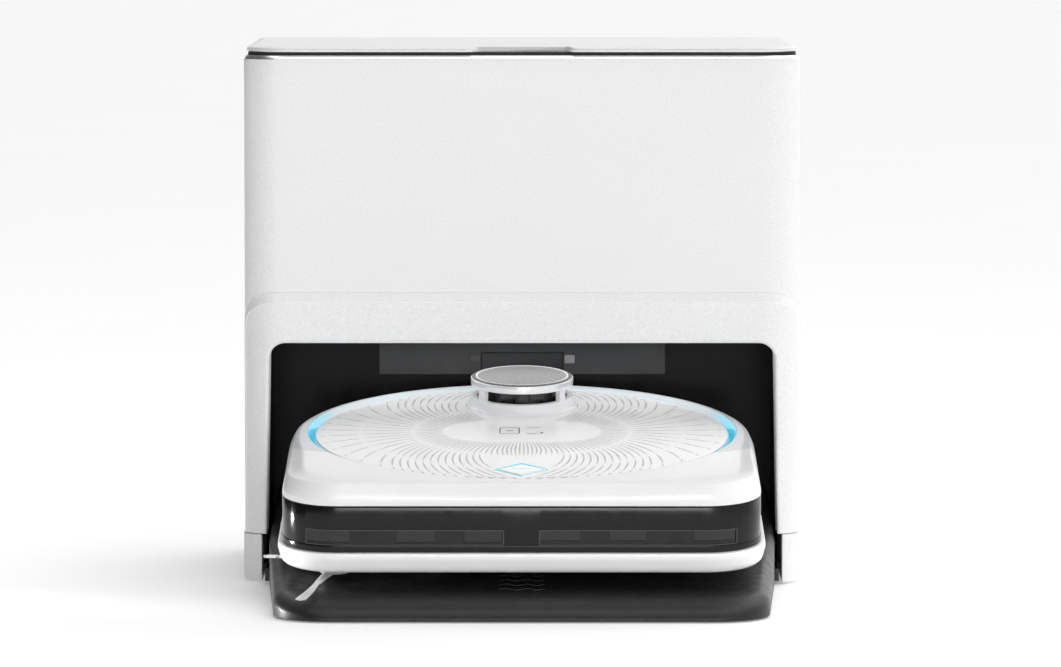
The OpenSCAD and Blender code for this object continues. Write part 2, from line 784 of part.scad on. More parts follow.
module lidar_cage() color(pale_grey) in_robot() translate([0, lidar_y, 0]) difference() {
    union() {
        translate([0, 0, deck_z]) cylinder(r1 = tower_r, r2 = tower_r - 1.5, h = tower_h);
        translate([0, 0, 60]) cylinder(r = cage_r, h = deck_z + tower_h - 60);
        // bridge over the water tank
        box([-92, -7, 60], [92, 7, 63]);
        for (s = [-1, 1]) scale([s, 1, 1]) box([86, -7, chassis_z + 3], [92, 7, 63]);
        for (a = pillar_angles) rotate(a - 90)
            translate([cage_in, -3, 80]) cube([4, 6, cap_z0 - 80]);
    }
    translate([0, 0, 63]) cylinder(r = cage_in, h = 60);
    // room for the drive pulley and its belt
    rotate(-25.5) box([20, -9, 63], [60, 9, 73]);
}

module lidar_cap() color(white) in_robot() translate([0, lidar_y, 0]) difference() {
    union() {
        translate([0, 0, cap_z0]) cylinder(r1 = 38, r2 = 37, h = 3.4);
        translate([0, 0, cap_z0 + 3.4]) cylinder(r1 = 37, r2 = 34.7, h = cap_z1 - cap_z0 - 3.4);
        translate([0, 0, 63]) cylinder(r = axle_r, h = cap_z0 - 62);
    }
    translate([0, 0, cap_z1 - 0.8]) cylinder(r = 33, h = 2);
}

// Spinning turret with the laser's two eyes
module lidar_head() color(black) in_robot() translate([0, lidar_y, 0]) difference() {
    union() {
        translate([0, 0, 64]) cylinder(r = turret_r, h = 8);
        translate([0, 0, 72]) cylinder(r = turret_r - 2, h = 18.5);
    }
    for (x = [-11, 11]) rod_y(6, x, -40, -24, 85);
    translate([0, 0, 50]) cylinder(r = axle_r + run_fit, h = 60);
}

module lidar_pulley() color(mid_grey) in_robot()
    translate([pulley_at[0], pulley_at[1], 65]) difference() {
        cylinder(r = 7, h = 6);
        translate([0, 0, -1]) cylinder(r = shaft_r + run_fit, h = 8);
    }

// ---------- robot: inside ----------

module dust_box() color("#5d6368") in_robot() difference() {
    block(-74, 74, 66, 158, 44, 71.5, 8);
    block(-72, 72, 68, 156, 46, 69.5, 6);
    box([-30, 150, 50], [30, 160, 66]);
}

module suction_fan() color(black) in_robot() translate([0, fan_y, 0]) difference() {
    union() {
        translate([0, 0, 18]) cylinder(r = 26, h = 3);
        translate([0, 0, 18]) cylinder(r = 8, h = 20);
        for (i = [0:6]) rotate(i * 360 / 7) box([7, -1, 20.5], [25, 1, 34]);
    }
    translate([0, 0, 10]) cylinder(r = shaft_r + run_fit, h = 40);
}

module battery_pack() color(dark_grey) in_robot() block(36, 132, 24, 92, 15, 42, 5);

module main_board() color("#2f6b4f") in_robot() {
    box([80, 60, 46], [150, 120, 48]);
    box([90, 70, 48], [110, 90, 53]);
    box([118, 78, 48], [138, 104, 51]);
    for (x = [138, 146], y = [64, 116]) translate([x, y, 15]) cylinder(r = 2.5, h = 31);
}

module robot_tank() color("#a9c8d4") in_robot() difference() {
    block(-84, 84, 251, 304, 17, 56, 12);
    block(-82, 82, 253, 302, 19, 54, 10);
}

module robot_contacts() color(steel) in_robot() intersection() {
    difference() {
        robot_slab(0.1, 34, 46);
        robot_slab(-0.0, 30, 50);
    }
    for (s = [-1, 1]) box([s * pad_x - 8, 300, 34], [s * pad_x + 8, 340, 46]);
}

// ---------- robot: running gear ----------

module wheel_arm(s) color(dark_grey) in_robot() scale([s, 1, 1]) difference() {
    union() {
        translate([arm_x0, 0, 0]) rotate([90, 0, 90]) linear_extrude(arm_t)
            bar([wheel_y, wheel_r], arm_pivot, arm_r);
        rod_x(axle_r, arm_x0 + arm_t - 1, wheel_x1 - 1, wheel_y, wheel_r);
    }
    rod_x(pivot_r + run_fit, arm_x0 - 1, arm_x0 + arm_t + 1, arm_pivot[0], arm_pivot[1]);
}
module wheel_arm_left() wheel_arm(-1);
module wheel_arm_right() wheel_arm(1);

wheel_x0 = 100;
wheel_x1 = 122;

module wheel(s) color(pale_grey) in_robot() scale([s, 1, 1]) difference() {
    rod_x(wheel_r - tyre_t, wheel_x0, wheel_x1, wheel_y, wheel_r);
    rod_x(axle_r + run_fit, wheel_x0 - 1, wheel_x1 + 1, wheel_y, wheel_r);
    for (i = [0:5]) translate([0, wheel_y, wheel_r]) rotate([i * 60, 0, 0])
        rod_x(5, wheel_x1 - 5, wheel_x1 + 1, 15, 0);
}
module wheel_left() wheel(-1);
module wheel_right() wheel(1);

module tyre(s) color(black) in_robot() scale([s, 1, 1]) difference() {
    rod_x(wheel_r, wheel_x0, wheel_x1, wheel_y, wheel_r);
    rod_x(wheel_r - tyre_t, wheel_x0 - 1, wheel_x1 + 1, wheel_y, wheel_r);
    // tread blocks
    for (i = [1:tread_count]) translate([0, wheel_y, wheel_r]) rotate([i * 360 / tread_count, 0, 0])
        box([wheel_x0 - 1, -1, wheel_r - 1.6], [wheel_x1 + 1, 1, wheel_r + 1]);
}
module tyre_left() tyre(-1);
module tyre_right() tyre(1);

module caster_fork() color(dark_grey) in_robot() translate([0, caster_y, 0]) {
    difference() {
        union() {
            translate([0, 0, 21]) cylinder(r = 18, h = 3);
            translate([0, 0, 21]) cylinder(r = 5, h = 16);
            for (s = [-1, 1]) scale([s, 1, 1])
                box([10.4, caster_trail - 6, 5], [13, caster_trail + 6, 22]);
        }
        rod_x(2, -20, 20, caster_trail, caster_z);
    }
}

module caster_wheel() color(black) in_robot() translate([0, caster_y + caster_trail, caster_z]) {
    rod_x(caster_r, -10, 10, 0, 0);
    rod_x(2 - run_fit, -13, 13, 0, 0);
}

// Three arms: a stiff sleeve, then a flat bundle of bristles that droops
module side_brush() color(pale_grey) in_robot()
    translate([-side_brush_x, side_brush_y, 0]) difference() {
        union() {
            translate([0, 0, 4]) cylinder(r = 12, h = 6.5);
            for (i = [0:2]) rotate(i * 120 + brush_angle) {
                box([8, -2.5, 5], [sleeve_l, 2.5, 8.5]);
                translate([sleeve_l - 6, 0, 7]) rotate([0, 7.5, -6])
                    box([0, -3, -1.2], [side_brush_r - sleeve_l + 6, 3, 0]);
            }
        }
        translate([0, 0, 2]) cylinder(r = axle_r + run_fit, h = 10);
    }

module roller_brush() color(dark_grey) in_robot() {
    rod_x(core_r, -tunnel_half + 2, tunnel_half - 2, tunnel_y, tunnel_z);
    rod_x(axle_r, -tunnel_half - 2, tunnel_half + 2, tunnel_y, tunnel_z);
    for (i = [0:5]) translate([0, tunnel_y, tunnel_z]) rotate([i * 60, 0, 0])
        box([-tunnel_half + 3, -fin_t / 2, core_r - 1], [tunnel_half - 3, fin_t / 2, roller_r]);
}

module brush_guard() color(black) in_robot() difference() {
    block(-90, 90, 101, 155, chassis_z - 3, chassis_z, 5);
    block(-83.5, 83.5, 108.7, 147.3, chassis_z - 4, chassis_z + 1, 4);
    for (s = [-1, 1]) scale([s, 1, 1]) box([arm_x0 + arm_t - 9, wheel_y - 36, 0], [100, 160, 20]);
}

module mop_plate() color(dark_grey) in_robot()
    block(-mop_half, mop_half, mop_y0, mop_y1, mop_z, 11.5, 14);
module mop_pad() color("#c8ccd0") in_robot()
    block(3 - mop_half, mop_half - 3, mop_y0 + 3, mop_y1 - 3, 0.8, mop_z, 12);

base_plate();
base_skirt();
ramp_tray();
ramp_grips();
arch_frame();
rear_shell();
front_panel();
cavity_liner();
dock_panel();
inner_deck();
lid_gasket();
lid();
hinge_pins();
clean_tank();
dirty_tank();
tank_caps();
dust_bag();
bag_collar();
fan_housing();
fan_impeller();
dust_duct();
power_board();
power_inlet();
exhaust_grille();
rubber_feet();
station_screws();
charge_pad_left();
charge_pad_right();
chassis();
top_shell();
front_deck();
disc_lid();
light_ring();
start_button();
bumper();
bumper_lip();
bumper_windows();
lidar_cage();
lidar_cap();
lidar_head();
lidar_pulley();
dust_box();
suction_fan();
battery_pack();
main_board();
wheel_arm_left();
wheel_arm_right();
wheel_left();
wheel_right();
tyre_left();
tyre_right();
caster_fork();
caster_wheel();
side_brush();
roller_brush();
brush_guard();
mop_plate();
mop_pad();
robot_tank();
robot_contacts();
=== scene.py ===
"""Looks of a robot vacuum docked in its base station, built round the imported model.

Everything is in metres. The station's pieces are drawn in the frame itself. The robot leans on
its ramp, so its pieces are drawn in the robot's own frame (x across, y back from its nose, z up
from its wheels' contact plane) and then set down by the matrix ROBOT.
"""
import json
import math

import bmesh
import bpy
from mathutils import Matrix, Vector

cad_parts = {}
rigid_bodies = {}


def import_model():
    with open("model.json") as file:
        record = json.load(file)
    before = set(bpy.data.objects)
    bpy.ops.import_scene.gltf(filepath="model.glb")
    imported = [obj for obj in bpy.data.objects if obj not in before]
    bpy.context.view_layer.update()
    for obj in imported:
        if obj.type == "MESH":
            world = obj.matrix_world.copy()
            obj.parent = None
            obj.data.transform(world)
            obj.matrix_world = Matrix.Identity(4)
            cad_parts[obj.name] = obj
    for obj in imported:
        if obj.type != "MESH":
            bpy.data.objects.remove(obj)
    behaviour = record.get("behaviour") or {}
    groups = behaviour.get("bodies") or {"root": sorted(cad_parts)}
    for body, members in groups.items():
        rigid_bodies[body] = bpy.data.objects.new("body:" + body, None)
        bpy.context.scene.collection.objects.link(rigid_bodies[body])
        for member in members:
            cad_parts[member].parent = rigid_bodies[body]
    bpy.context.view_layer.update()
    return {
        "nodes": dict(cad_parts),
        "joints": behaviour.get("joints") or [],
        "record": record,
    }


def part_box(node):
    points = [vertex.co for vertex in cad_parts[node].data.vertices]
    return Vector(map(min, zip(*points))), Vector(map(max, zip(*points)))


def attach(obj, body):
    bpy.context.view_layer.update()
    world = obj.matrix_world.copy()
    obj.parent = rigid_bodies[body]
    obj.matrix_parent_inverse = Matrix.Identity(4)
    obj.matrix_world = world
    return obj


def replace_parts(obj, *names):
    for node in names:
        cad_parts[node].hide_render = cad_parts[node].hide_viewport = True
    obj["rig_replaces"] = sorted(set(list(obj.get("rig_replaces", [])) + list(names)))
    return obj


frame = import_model()
NODES = frame["nodes"]
JOINTS = {j["name"]: j for j in frame["joints"]}
SLOT_OF = {s["node"]: s["material_slot"] for s in frame["record"]["subparts"]}
BODY_OF = {n: b for b, ns in frame["record"]["behaviour"]["bodies"].items() for n in ns}
MM = 0.001


# ---------- the robot's frame

def robot_frame():
    """Matrix that sets down the robot's own frame, from its joints and lowest points."""
    up = Vector(JOINTS["turret_spin"]["axis"]).normalized()
    back = Vector(JOINTS["bumper_press"]["axis"]).normalized()
    across = back.cross(up)
    foot = min(up.dot(v.co) for v in NODES["tyre_left"].data.vertices)
    nose = min(back.dot(v.co) for v in NODES["bumper"].data.vertices)
    turn = Matrix((across, back, up)).transposed().to_4x4()
    return Matrix.Translation(back * nose + up * foot) @ turn


ROBOT = robot_frame()
STILL = Matrix.Identity(4)


def robot_box(node):
    """Lowest and highest corner of a CAD node in the robot's frame."""
    turn = ROBOT.inverted()
    spots = [turn @ v.co for v in NODES[node].data.vertices]
    low = Vector([min(s[i] for s in spots) for i in range(3)])
    high = Vector([max(s[i] for s in spots) for i in range(3)])
    return low, high


# ---------- materials

class Look:
    """A Principled material with a few short ways of adding nodes."""

    def __init__(self, name, color, rough, metallic=0.0):
        self.mat = bpy.data.materials.new(name)
        self.mat.use_nodes = True
        self.tree = self.mat.node_tree
        self.shader = self.tree.nodes["Principled BSDF"]
        self.shader.inputs["Base Color"].default_value = (*color, 1)
        self.shader.inputs["Roughness"].default_value = rough
        self.shader.inputs["Metallic"].default_value = metallic
        self.color = color
        self.rough = rough
        self.place = self.node("ShaderNodeTexCoord").outputs["Object"]
        self.normal = None

    def node(self, kind, **sockets):
        made = self.tree.nodes.new(kind)
        for key, value in sockets.items():
            made.inputs[key.replace("_", " ")].default_value = value
        return made

    def link(self, a, b):
        self.tree.links.new(a, b)

    def stretch(self, x, y, z):
        """Place scaled along each axis, for brushed or ribbed finishes."""
        mapping = self.node("ShaderNodeMapping")
        mapping.inputs["Scale"].default_value = (x, y, z)
        self.link(self.place, mapping.inputs["Vector"])
        return mapping.outputs["Vector"]

    def noise(self, scale, detail=3.0, place=None):
        made = self.node("ShaderNodeTexNoise", Scale=scale, Detail=detail)
        self.link(place or self.place, made.inputs["Vector"])
        return made.outputs["Fac"]

    def remap(self, value, low, high, from_low=0.3, from_high=0.7):
        made = self.node("ShaderNodeMapRange")
        for key, number in (("From Min", from_low), ("From Max", from_high),
                            ("To Min", low), ("To Max", high)):
            made.inputs[key].default_value = number
        self.link(value, made.inputs["Value"])
        return made.outputs["Result"]

    def tint(self, fac, color_a, color_b):
        """Base colour that runs between two colours."""
        mix = self.tree.nodes.new("ShaderNodeMix")
        mix.data_type = "RGBA"
        mix.inputs[6].default_value = (*color_a, 1)
        mix.inputs[7].default_value = (*color_b, 1)
        self.link(fac, mix.inputs[0])
        self.link(mix.outputs[2], self.shader.inputs["Base Color"])
        return mix

    def vary(self, scale, amount):
        """Slow changes of colour over the surface."""
        dark = [c * (1 - amount) for c in self.color]
        light = [min(1.0, c * (1 + amount)) for c in self.color]
        self.tint(self.remap(self.noise(scale), 0, 1), dark, light)
        return self

    def smudge(self, scale, amount):
        """Changes of gloss over the surface."""
        value = self.remap(self.noise(scale, 4), self.rough - amount, self.rough + amount)
        self.link(value, self.shader.inputs["Roughness"])
        return self

    def bump(self, value, strength, depth):
        made = self.node("ShaderNodeBump", Strength=strength, Distance=depth)
        self.link(value, made.inputs["Height"])
        if self.normal:
            self.link(self.normal, made.inputs["Normal"])
        self.normal = made.outputs["Normal"]
        self.link(self.normal, self.shader.inputs["Normal"])
        return self

    def grain(self, scale, strength=0.25, depth=0.00005):
        """Spark-eroded mould texture."""
        return self.bump(self.noise(scale, 2), strength, depth)

    def shine(self, level):
        """Strength of the mirror-like part, 0.5 being ordinary plastic."""
        self.shader.inputs["Specular IOR Level"].default_value = level
        return self

    def coat(self, weight, rough=0.03):
        self.shader.inputs["Coat Weight"].default_value = weight
        self.shader.inputs["Coat Roughness"].default_value = rough
        return self

    def glow(self, color, strength):
        self.shader.inputs["Emission Color"].default_value = (*color, 1)
        self.shader.inputs["Emission Strength"].default_value = strength
        return self


def speckled(name, color, rough, scale=900.0, speck=0.05):
    """Satin paint with the fine sparkle grain of the station's front."""
    look = Look(name, color, rough)
    dark = [c * (1 - speck) for c in color]
    light = [min(1.0, c * (1 + speck)) for c in color]
    look.tint(look.remap(look.noise(scale, 2), 0, 1, 0.35, 0.65), dark, light)
    look.smudge(60, 0.05)
    look.grain(scale * 1.3, 0.3, 0.00006)
    return look.mat


def gloss(name, color, rough=0.16, coat=0.6, vary=0.015, shine=0.5):
    """Moulded high-gloss plastic, with faint waviness and handling marks."""
    look = Look(name, color, rough).vary(25, vary).smudge(90, 0.04).coat(coat).shine(shine)
    look.bump(look.noise(30, 1), 0.06, 0.0004)
    return look.mat


def satin(name, color, rough=0.45, grain=1400.0, strength=0.3, vary=0.05, shine=0.5):
    """Textured plastic of frames and housings."""
    look = Look(name, color, rough).vary(40, vary).smudge(120, 0.06).shine(shine)
    return look.grain(grain, strength).mat


def rubber(name, color):
    """Dull rubber with an uneven bloom."""
    return Look(name, color, 0.72).vary(150, 0.18).smudge(200, 0.1).grain(2200, 0.4).mat


def metal(name, color, rough=0.28, brushed=(60, 2500, 2500), metallic=1.0):
    """Metal with fine brushed lines along the axis whose scale is small."""
    look = Look(name, color, rough, metallic=metallic)
    lines = look.noise(1.0, 3, look.stretch(*brushed))
    look.link(look.remap(lines, rough - 0.08, rough + 0.12), look.shader.inputs["Roughness"])
    look.bump(lines, 0.12, 0.00003)
    return look.mat


def cloth(name, color, thread=1500.0):
    """Woven or felted cloth: crossed threads over a soft mottle."""
    look = Look(name, color, 0.9).vary(80, 0.07)
    look.shader.inputs["Sheen Weight"].default_value = 0.35
    warp = look.noise(1.0, 1, look.stretch(thread, thread / 12, thread))
    weft = look.noise(1.0, 1, look.stretch(thread / 12, thread, thread))
    look.bump(warp, 0.5, 0.0002).bump(weft, 0.5, 0.0002)
    return look.mat


def tank_plastic(name, color, clarity):
    """Smoky see-through moulding."""
    look = Look(name, color, 0.18).smudge(50, 0.05).coat(0.4)
    look.shader.inputs["Transmission Weight"].default_value = clarity
    look.shader.inputs["IOR"].default_value = 1.3
    look.bump(look.noise(20, 1), 0.08, 0.0005)
    return look.mat


def lit_ring(name, reach):
    """Light guide that is lit towards the robot's two sides and milky in between."""
    look = Look(name, (0.55, 0.68, 0.74), 0.22).smudge(120, 0.05).coat(0.5)
    parts = look.node("ShaderNodeSeparateXYZ")
    look.link(look.place, parts.inputs["Vector"])
    across = look.node("ShaderNodeMath")
    across.operation = "ABSOLUTE"
    look.link(parts.outputs["X"], across.inputs[0])
    side = look.remap(across.outputs[0], 0.0, 1.0, reach * 0.88, reach * 0.97)
    look.tint(side, (0.66, 0.72, 0.75), (0.01, 0.22, 0.32))
    look.glow((0.015, 0.42, 0.6), 1.0)
    power = look.remap(side, 0.04, 0.95, 0.0, 1.0)
    look.link(power, look.shader.inputs["Emission Strength"])
    return look.mat


def board(name):
    """Circuit board: solder mask with a faint net of tracks."""
    look = Look(name, (0.02, 0.13, 0.07), 0.35).coat(0.3)
    cells = look.node("ShaderNodeTexBrick", Scale=180.0)
    cells.inputs["Color1"].default_value = (0.02, 0.13, 0.07, 1)
    cells.inputs["Color2"].default_value = (0.03, 0.17, 0.09, 1)
    cells.inputs["Mortar"].default_value = (0.05, 0.25, 0.14, 1)
    look.link(look.place, cells.inputs["Vector"])
    look.link(cells.outputs["Color"], look.shader.inputs["Base Color"])
    look.bump(cells.outputs["Fac"], 0.2, 0.0001)
    return look.mat


RING_LOW, RING_HIGH = robot_box("light_ring")
RING_R = (RING_HIGH.x - RING_LOW.x) / 2
RING_Y = (RING_HIGH.y + RING_LOW.y) / 2

FINISHES = (
    (speckled, "station_white", (0.84, 0.84, 0.84), 0.42),
    (speckled, "lid_white", (0.8, 0.8, 0.795), 0.4, 1100.0, 0.03),
    (satin, "tray_grey", (0.018, 0.0185, 0.0195), 0.4, 1100.0, 0.25, 0.05, 0.3),
    (satin, "base_dark", (0.02, 0.02, 0.021), 0.5),
    (rubber, "grip_rubber", (0.012, 0.012, 0.013)),
    (rubber, "foot_rubber", (0.014, 0.014, 0.014)),
    (gloss, "liner_black", (0.0025, 0.0025, 0.0028), 0.2, 0.0, 0.1, 0.12),
    (satin, "dock_dark", (0.035, 0.036, 0.038), 0.4, 1400.0, 0.3, 0.05, 0.25),
    (satin, "inner_grey", (0.6, 0.6, 0.6), 0.5),
    (rubber, "gasket_black", (0.01, 0.01, 0.01)),
    (metal, "pin_steel", (0.56, 0.56, 0.57)),
    (tank_plastic, "tank_clear", (0.62, 0.74, 0.8), 0.75),
    (tank_plastic, "tank_smoke", (0.3, 0.32, 0.34), 0.6),
    (satin, "cap_dark", (0.03, 0.031, 0.033), 0.45),
    (cloth, "bag_cloth", (0.78, 0.75, 0.68)),
    (satin, "collar_card", (0.4, 0.29, 0.17), 0.85, 500.0, 0.5, 0.1),
    (satin, "blower_grey", (0.09, 0.093, 0.1)),
    (satin, "fan_black", (0.02, 0.02, 0.022), 0.35),
    (board, "board_green"),
    (satin, "socket_black", (0.015, 0.015, 0.015), 0.4),
    (satin, "grille_grey", (0.55, 0.55, 0.55), 0.5),
    (metal, "contact_metal", (0.78, 0.72, 0.6), 0.2),
    (gloss, "robot_white", (0.88, 0.88, 0.885), 0.2, 0.0, 0.015, 0.4),
    (gloss, "robot_grey", (0.7, 0.71, 0.725), 0.22, 0.0, 0.015, 0.3),
    (satin, "chassis_white", (0.7, 0.7, 0.7)),
    (gloss, "disc_white", (0.95, 0.95, 0.955), 0.2, 0.0, 0.015, 0.15),
    (lit_ring, "ring_cyan", RING_R),
    (gloss, "button_white", (0.86, 0.88, 0.88), 0.15),
    (gloss, "bumper_black", (0.006, 0.006, 0.007), 0.14, 0.0, 0.015, 0.28),
    (gloss, "window_dark", (0.022, 0.022, 0.024), 0.2, 0.0, 0.015, 0.25),
    (gloss, "lidar_white", (0.93, 0.93, 0.94), 0.18, 0.0, 0.015, 0.3),
    (satin, "turret_black", (0.012, 0.012, 0.014), 0.3),
    (satin, "pulley_grey", (0.2, 0.2, 0.21), 0.4),
    (tank_plastic, "dust_smoke", (0.16, 0.17, 0.18), 0.35),
    (satin, "battery_dark", (0.02, 0.024, 0.03), 0.3, 400.0, 0.15),
    (satin, "arm_dark", (0.03, 0.03, 0.033), 0.5),
    (satin, "wheel_grey", (0.4, 0.4, 0.41), 0.5),
    (rubber, "tyre_black", (0.012, 0.012, 0.012)),
    (satin, "caster_black", (0.02, 0.02, 0.02), 0.4),
    (satin, "side_brush_grey", (0.8, 0.8, 0.79), 0.45),
    (rubber, "roller_rubber", (0.03, 0.03, 0.034)),
    (satin, "mop_dark", (0.02, 0.02, 0.021), 0.5),
    (cloth, "mop_cloth", (0.5, 0.53, 0.58)),
)
MATS = {name: make(name, *rest) for make, name, *rest in FINISHES}
CHROME = Look("chrome_band", (0.97, 0.97, 0.98), 0.12, metallic=0.25).smudge(80, 0.03).mat
BRUSHED = metal("brushed_cap", (0.26, 0.26, 0.265), 0.34, (2400, 60, 60), 0.5)
# Grey of the cover's dashes: painted shade that stands in for the shade in its fine grooves.
DASH_SHADE_GREY = gloss("dash_painted_shade", (0.5, 0.505, 0.515), 0.3, 0.0, shine=0.15)
DARK_INK = gloss("dark_ink", (0.05, 0.05, 0.055), 0.3)
CYAN_INK = Look("cyan_line", (0.05, 0.5, 0.6), 0.3).vary(300, 0.1).smudge(200, 0.05)
CYAN_INK = CYAN_INK.glow((0.06, 0.62, 0.75), 0.45).mat
TRIM_LINE = gloss("trim_line", (0.06, 0.06, 0.062), 0.2, 0.0, shine=0.5)
# Lighter grey for the ramp's embossed waves: painted highlight on ridges that are moulded in the tray's own
# plastic.
WAVE_HIGHLIGHT_GREY = satin("wave_painted_highlight", (0.055, 0.056, 0.058), 0.4, 1100.0, 0.25)
# Whiter than the station's own paint: painted highlight for the beads along the ledge's edges.
BEAD_HIGHLIGHT_WHITE = gloss("bead_painted_highlight", (0.97, 0.97, 0.97), 0.2, 0.3)
# Brighter copy of the robot's white, used on the lip alone: painted light, because the lip is moulded in
# the same white plastic.
LIP_PAINTED_LIGHT_WHITE = gloss("lip_white_painted_light", (0.97, 0.97, 0.97), 0.2, 0.2)
BEVEL = Look("bevel_gloss", (0.86, 0.86, 0.86), 0.22, metallic=0.85).smudge(80, 0.05).mat


# ---------- mesh helpers

def mesh_of(verts, faces, place=STILL):
    """Mesh from vertices and faces, with its doubles merged and its normals outwards."""
    mesh = bpy.data.meshes.new("mesh")
    mesh.from_pydata([place @ Vector(v) for v in verts], [], faces)
    bm = bmesh.new()
    bm.from_mesh(mesh)
    bmesh.ops.remove_doubles(bm, verts=bm.verts, dist=1e-6)
    bmesh.ops.recalc_face_normals(bm, faces=bm.faces)
    bm.to_mesh(mesh)
    bm.free()
    return mesh


def show(name, mesh, body, slot, mat=None, replaces=()):
    """Piece with the shading normals that its mesh already has."""
    mesh.materials.clear()
    mesh.materials.append(mat or MATS[slot])
    ob = bpy.data.objects.new(name, mesh)
    bpy.context.scene.collection.objects.link(ob)
    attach(ob, body)
    if replaces:
        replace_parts(ob, *replaces)
    return ob


def finish_piece(name, mesh, body, slot, mat=None, angle=32, replaces=()):
    """Piece shaded smooth, apart from edges sharper than angle."""
    mesh.shade_smooth()
    mesh.set_sharp_from_angle(angle=math.radians(angle))
    return show(name, mesh, body, slot, mat, replaces)


def add(name, verts, faces, body, slot, mat=None, place=STILL, angle=32, replaces=()):
    """A new piece from its vertices and faces, riding on a body."""
    return finish_piece(name, mesh_of(verts, faces, place), body, slot, mat, angle, replaces)


def strips(rings, loop=False, wrap=False):
    """Quads between neighbouring rings of points. loop closes each ring, wrap joins last to first."""
    n = len(rings[0])
    verts = [p for ring in rings for p in ring]
    faces = []
    for i in range(len(rings) if wrap else len(rings) - 1):
        a = i * n
        b = (i + 1) % len(rings) * n
        for j in range(n if loop else n - 1):
            k = (j + 1) % n
            faces.append((a + j, a + k, b + k, b + j))
    return verts, faces


def capped(rings):
    """Closed body through rings of points, with both ends filled."""
    verts, faces = strips(rings, loop=True)
    n = len(rings[0])
    return verts, faces + [tuple(range(n)), tuple(range(len(verts) - n, len(verts)))]


def join_parts(parts):
    """One vertex and face list from several."""
    verts, faces = [], []
    for v, f in parts:
        base = len(verts)
        verts += list(v)
        faces += [tuple(i + base for i in face) for face in f]
    return verts, faces


def lathe(profile, centre, steps=128):
    """Closed profile of (radius, height) turned about an upright axis."""
    rings = []
    for i in range(steps):
        a = 2 * math.pi * i / steps
        rings.append([(centre[0] + r * math.cos(a), centre[1] + r * math.sin(a), z)
                      for r, z in profile])
    return strips(rings, loop=True, wrap=True)


def box_part(low, high):
    """Plain box, as a part of a larger mesh or a cutter."""
    x, y, z = zip(low, high)
    verts = [(x[i], y[j], z[k]) for k in (0, 1) for j in (0, 1) for i in (0, 1)]
    return verts, [(0, 2, 3, 1), (4, 5, 7, 6), (0, 1, 5, 4), (2, 6, 7, 3), (0, 4, 6, 2), (1, 3, 7, 5)]


def cleaned(node, whole_faces=True):
    """Copy of a CAD node's mesh with its seams merged and its flat faces whole again."""
    mesh = NODES[node].data.copy()
    bm = bmesh.new()
    bm.from_mesh(mesh)
    bmesh.ops.remove_doubles(bm, verts=bm.verts, dist=2e-6)
    bmesh.ops.dissolve_degenerate(bm, edges=bm.edges, dist=1e-6)
    if whole_faces:
        bmesh.ops.dissolve_limit(bm, angle_limit=math.radians(0.6), verts=bm.verts, edges=bm.edges)
    bmesh.ops.recalc_face_normals(bm, faces=bm.faces)
    bm.to_mesh(mesh)
    bm.free()
    return mesh


def baked(ob):
    """Mesh of an object with its modifiers applied. The object is removed."""
    mesh = bpy.data.meshes.new_from_object(ob.evaluated_get(bpy.context.evaluated_depsgraph_get()))
    bpy.data.objects.remove(ob)
    return mesh


def bevelled(mesh, width, segments=2, angle=32):
    """Mesh with its sharp edges rounded."""
    mesh.shade_smooth()
    mesh.set_sharp_from_angle(angle=math.radians(angle))
    ob = bpy.data.objects.new("work", mesh)
    bpy.context.scene.collection.objects.link(ob)
    mod = ob.modifiers.new("bevel", "BEVEL")
    mod.width = width
    mod.segments = segments
    mod.limit_method = "ANGLE"
    mod.angle_limit = math.radians(angle)
    mod.harden_normals = True
    mod.use_clamp_overlap = True
    bpy.context.view_layer.update()
    return baked(ob)


def cut(mesh, cutter, operation="DIFFERENCE"):
    """Mesh after an exact boolean with a list of vertices and faces."""
    tool = bpy.data.objects.new("tool", mesh_of(*cutter))
    ob = bpy.data.objects.new("work", mesh)
    for o in (tool, ob):
        bpy.context.scene.collection.objects.link(o)
    mod = ob.modifiers.new("cut", "BOOLEAN")
    mod.operation = operation
    mod.solver = "EXACT"
    mod.object = tool
    bpy.context.view_layer.update()
    result = baked(ob)
    bpy.data.objects.remove(tool)
    return result


def refined(node, width=0.5 * MM, segments=2, mat=None):
    """A CAD node shown with its edges rounded."""
    mesh = bevelled(cleaned(node), width, segments)
    return show(node + "_piece", mesh, BODY_OF[node], SLOT_OF[node], mat, (node,))


# ---------- the robot's outline

BUMP_LOW, BUMP_HIGH = robot_box("bumper")
SHELL_HIGH = robot_box("top_shell")[1]
HALF_W = (BUMP_HIGH.x - BUMP_LOW.x) / 2
BACK_Y = SHELL_HIGH.y - HALF_W            # centre of the round back
CORNER_R = 40 * MM
FRONT_LEN = HALF_W - CORNER_R
CORNER_LEN = CORNER_R * math.pi / 2
SIDE_LEN = BACK_Y - CORNER_R
REAR_LEN = HALF_W * math.pi / 2
HALF_LEN = FRONT_LEN + CORNER_LEN + SIDE_LEN + REAR_LEN


def on_outline(s):
    """Point and outward normal of the robot's outline, at a distance round from its nose."""
    side = 1 if s >= 0 else -1
    t = abs(s)
    if t < FRONT_LEN:
        p, n = (t, 0), (0, -1)
    elif t < FRONT_LEN + CORNER_LEN:
        a = (t - FRONT_LEN) / CORNER_R
        n = (math.sin(a), -math.cos(a))
        p = (FRONT_LEN + CORNER_R * n[0], CORNER_R + CORNER_R * n[1])
    elif t < FRONT_LEN + CORNER_LEN + SIDE_LEN:
        p, n = (HALF_W, CORNER_R + t - FRONT_LEN - CORNER_LEN), (1, 0)
    else:
        a = (t - FRONT_LEN - CORNER_LEN - SIDE_LEN) / HALF_W
        n = (math.cos(a), math.sin(a))
        p = (HALF_W * n[0], BACK_Y + HALF_W * n[1])
    return (side * p[0], p[1]), (side * n[0], n[1])


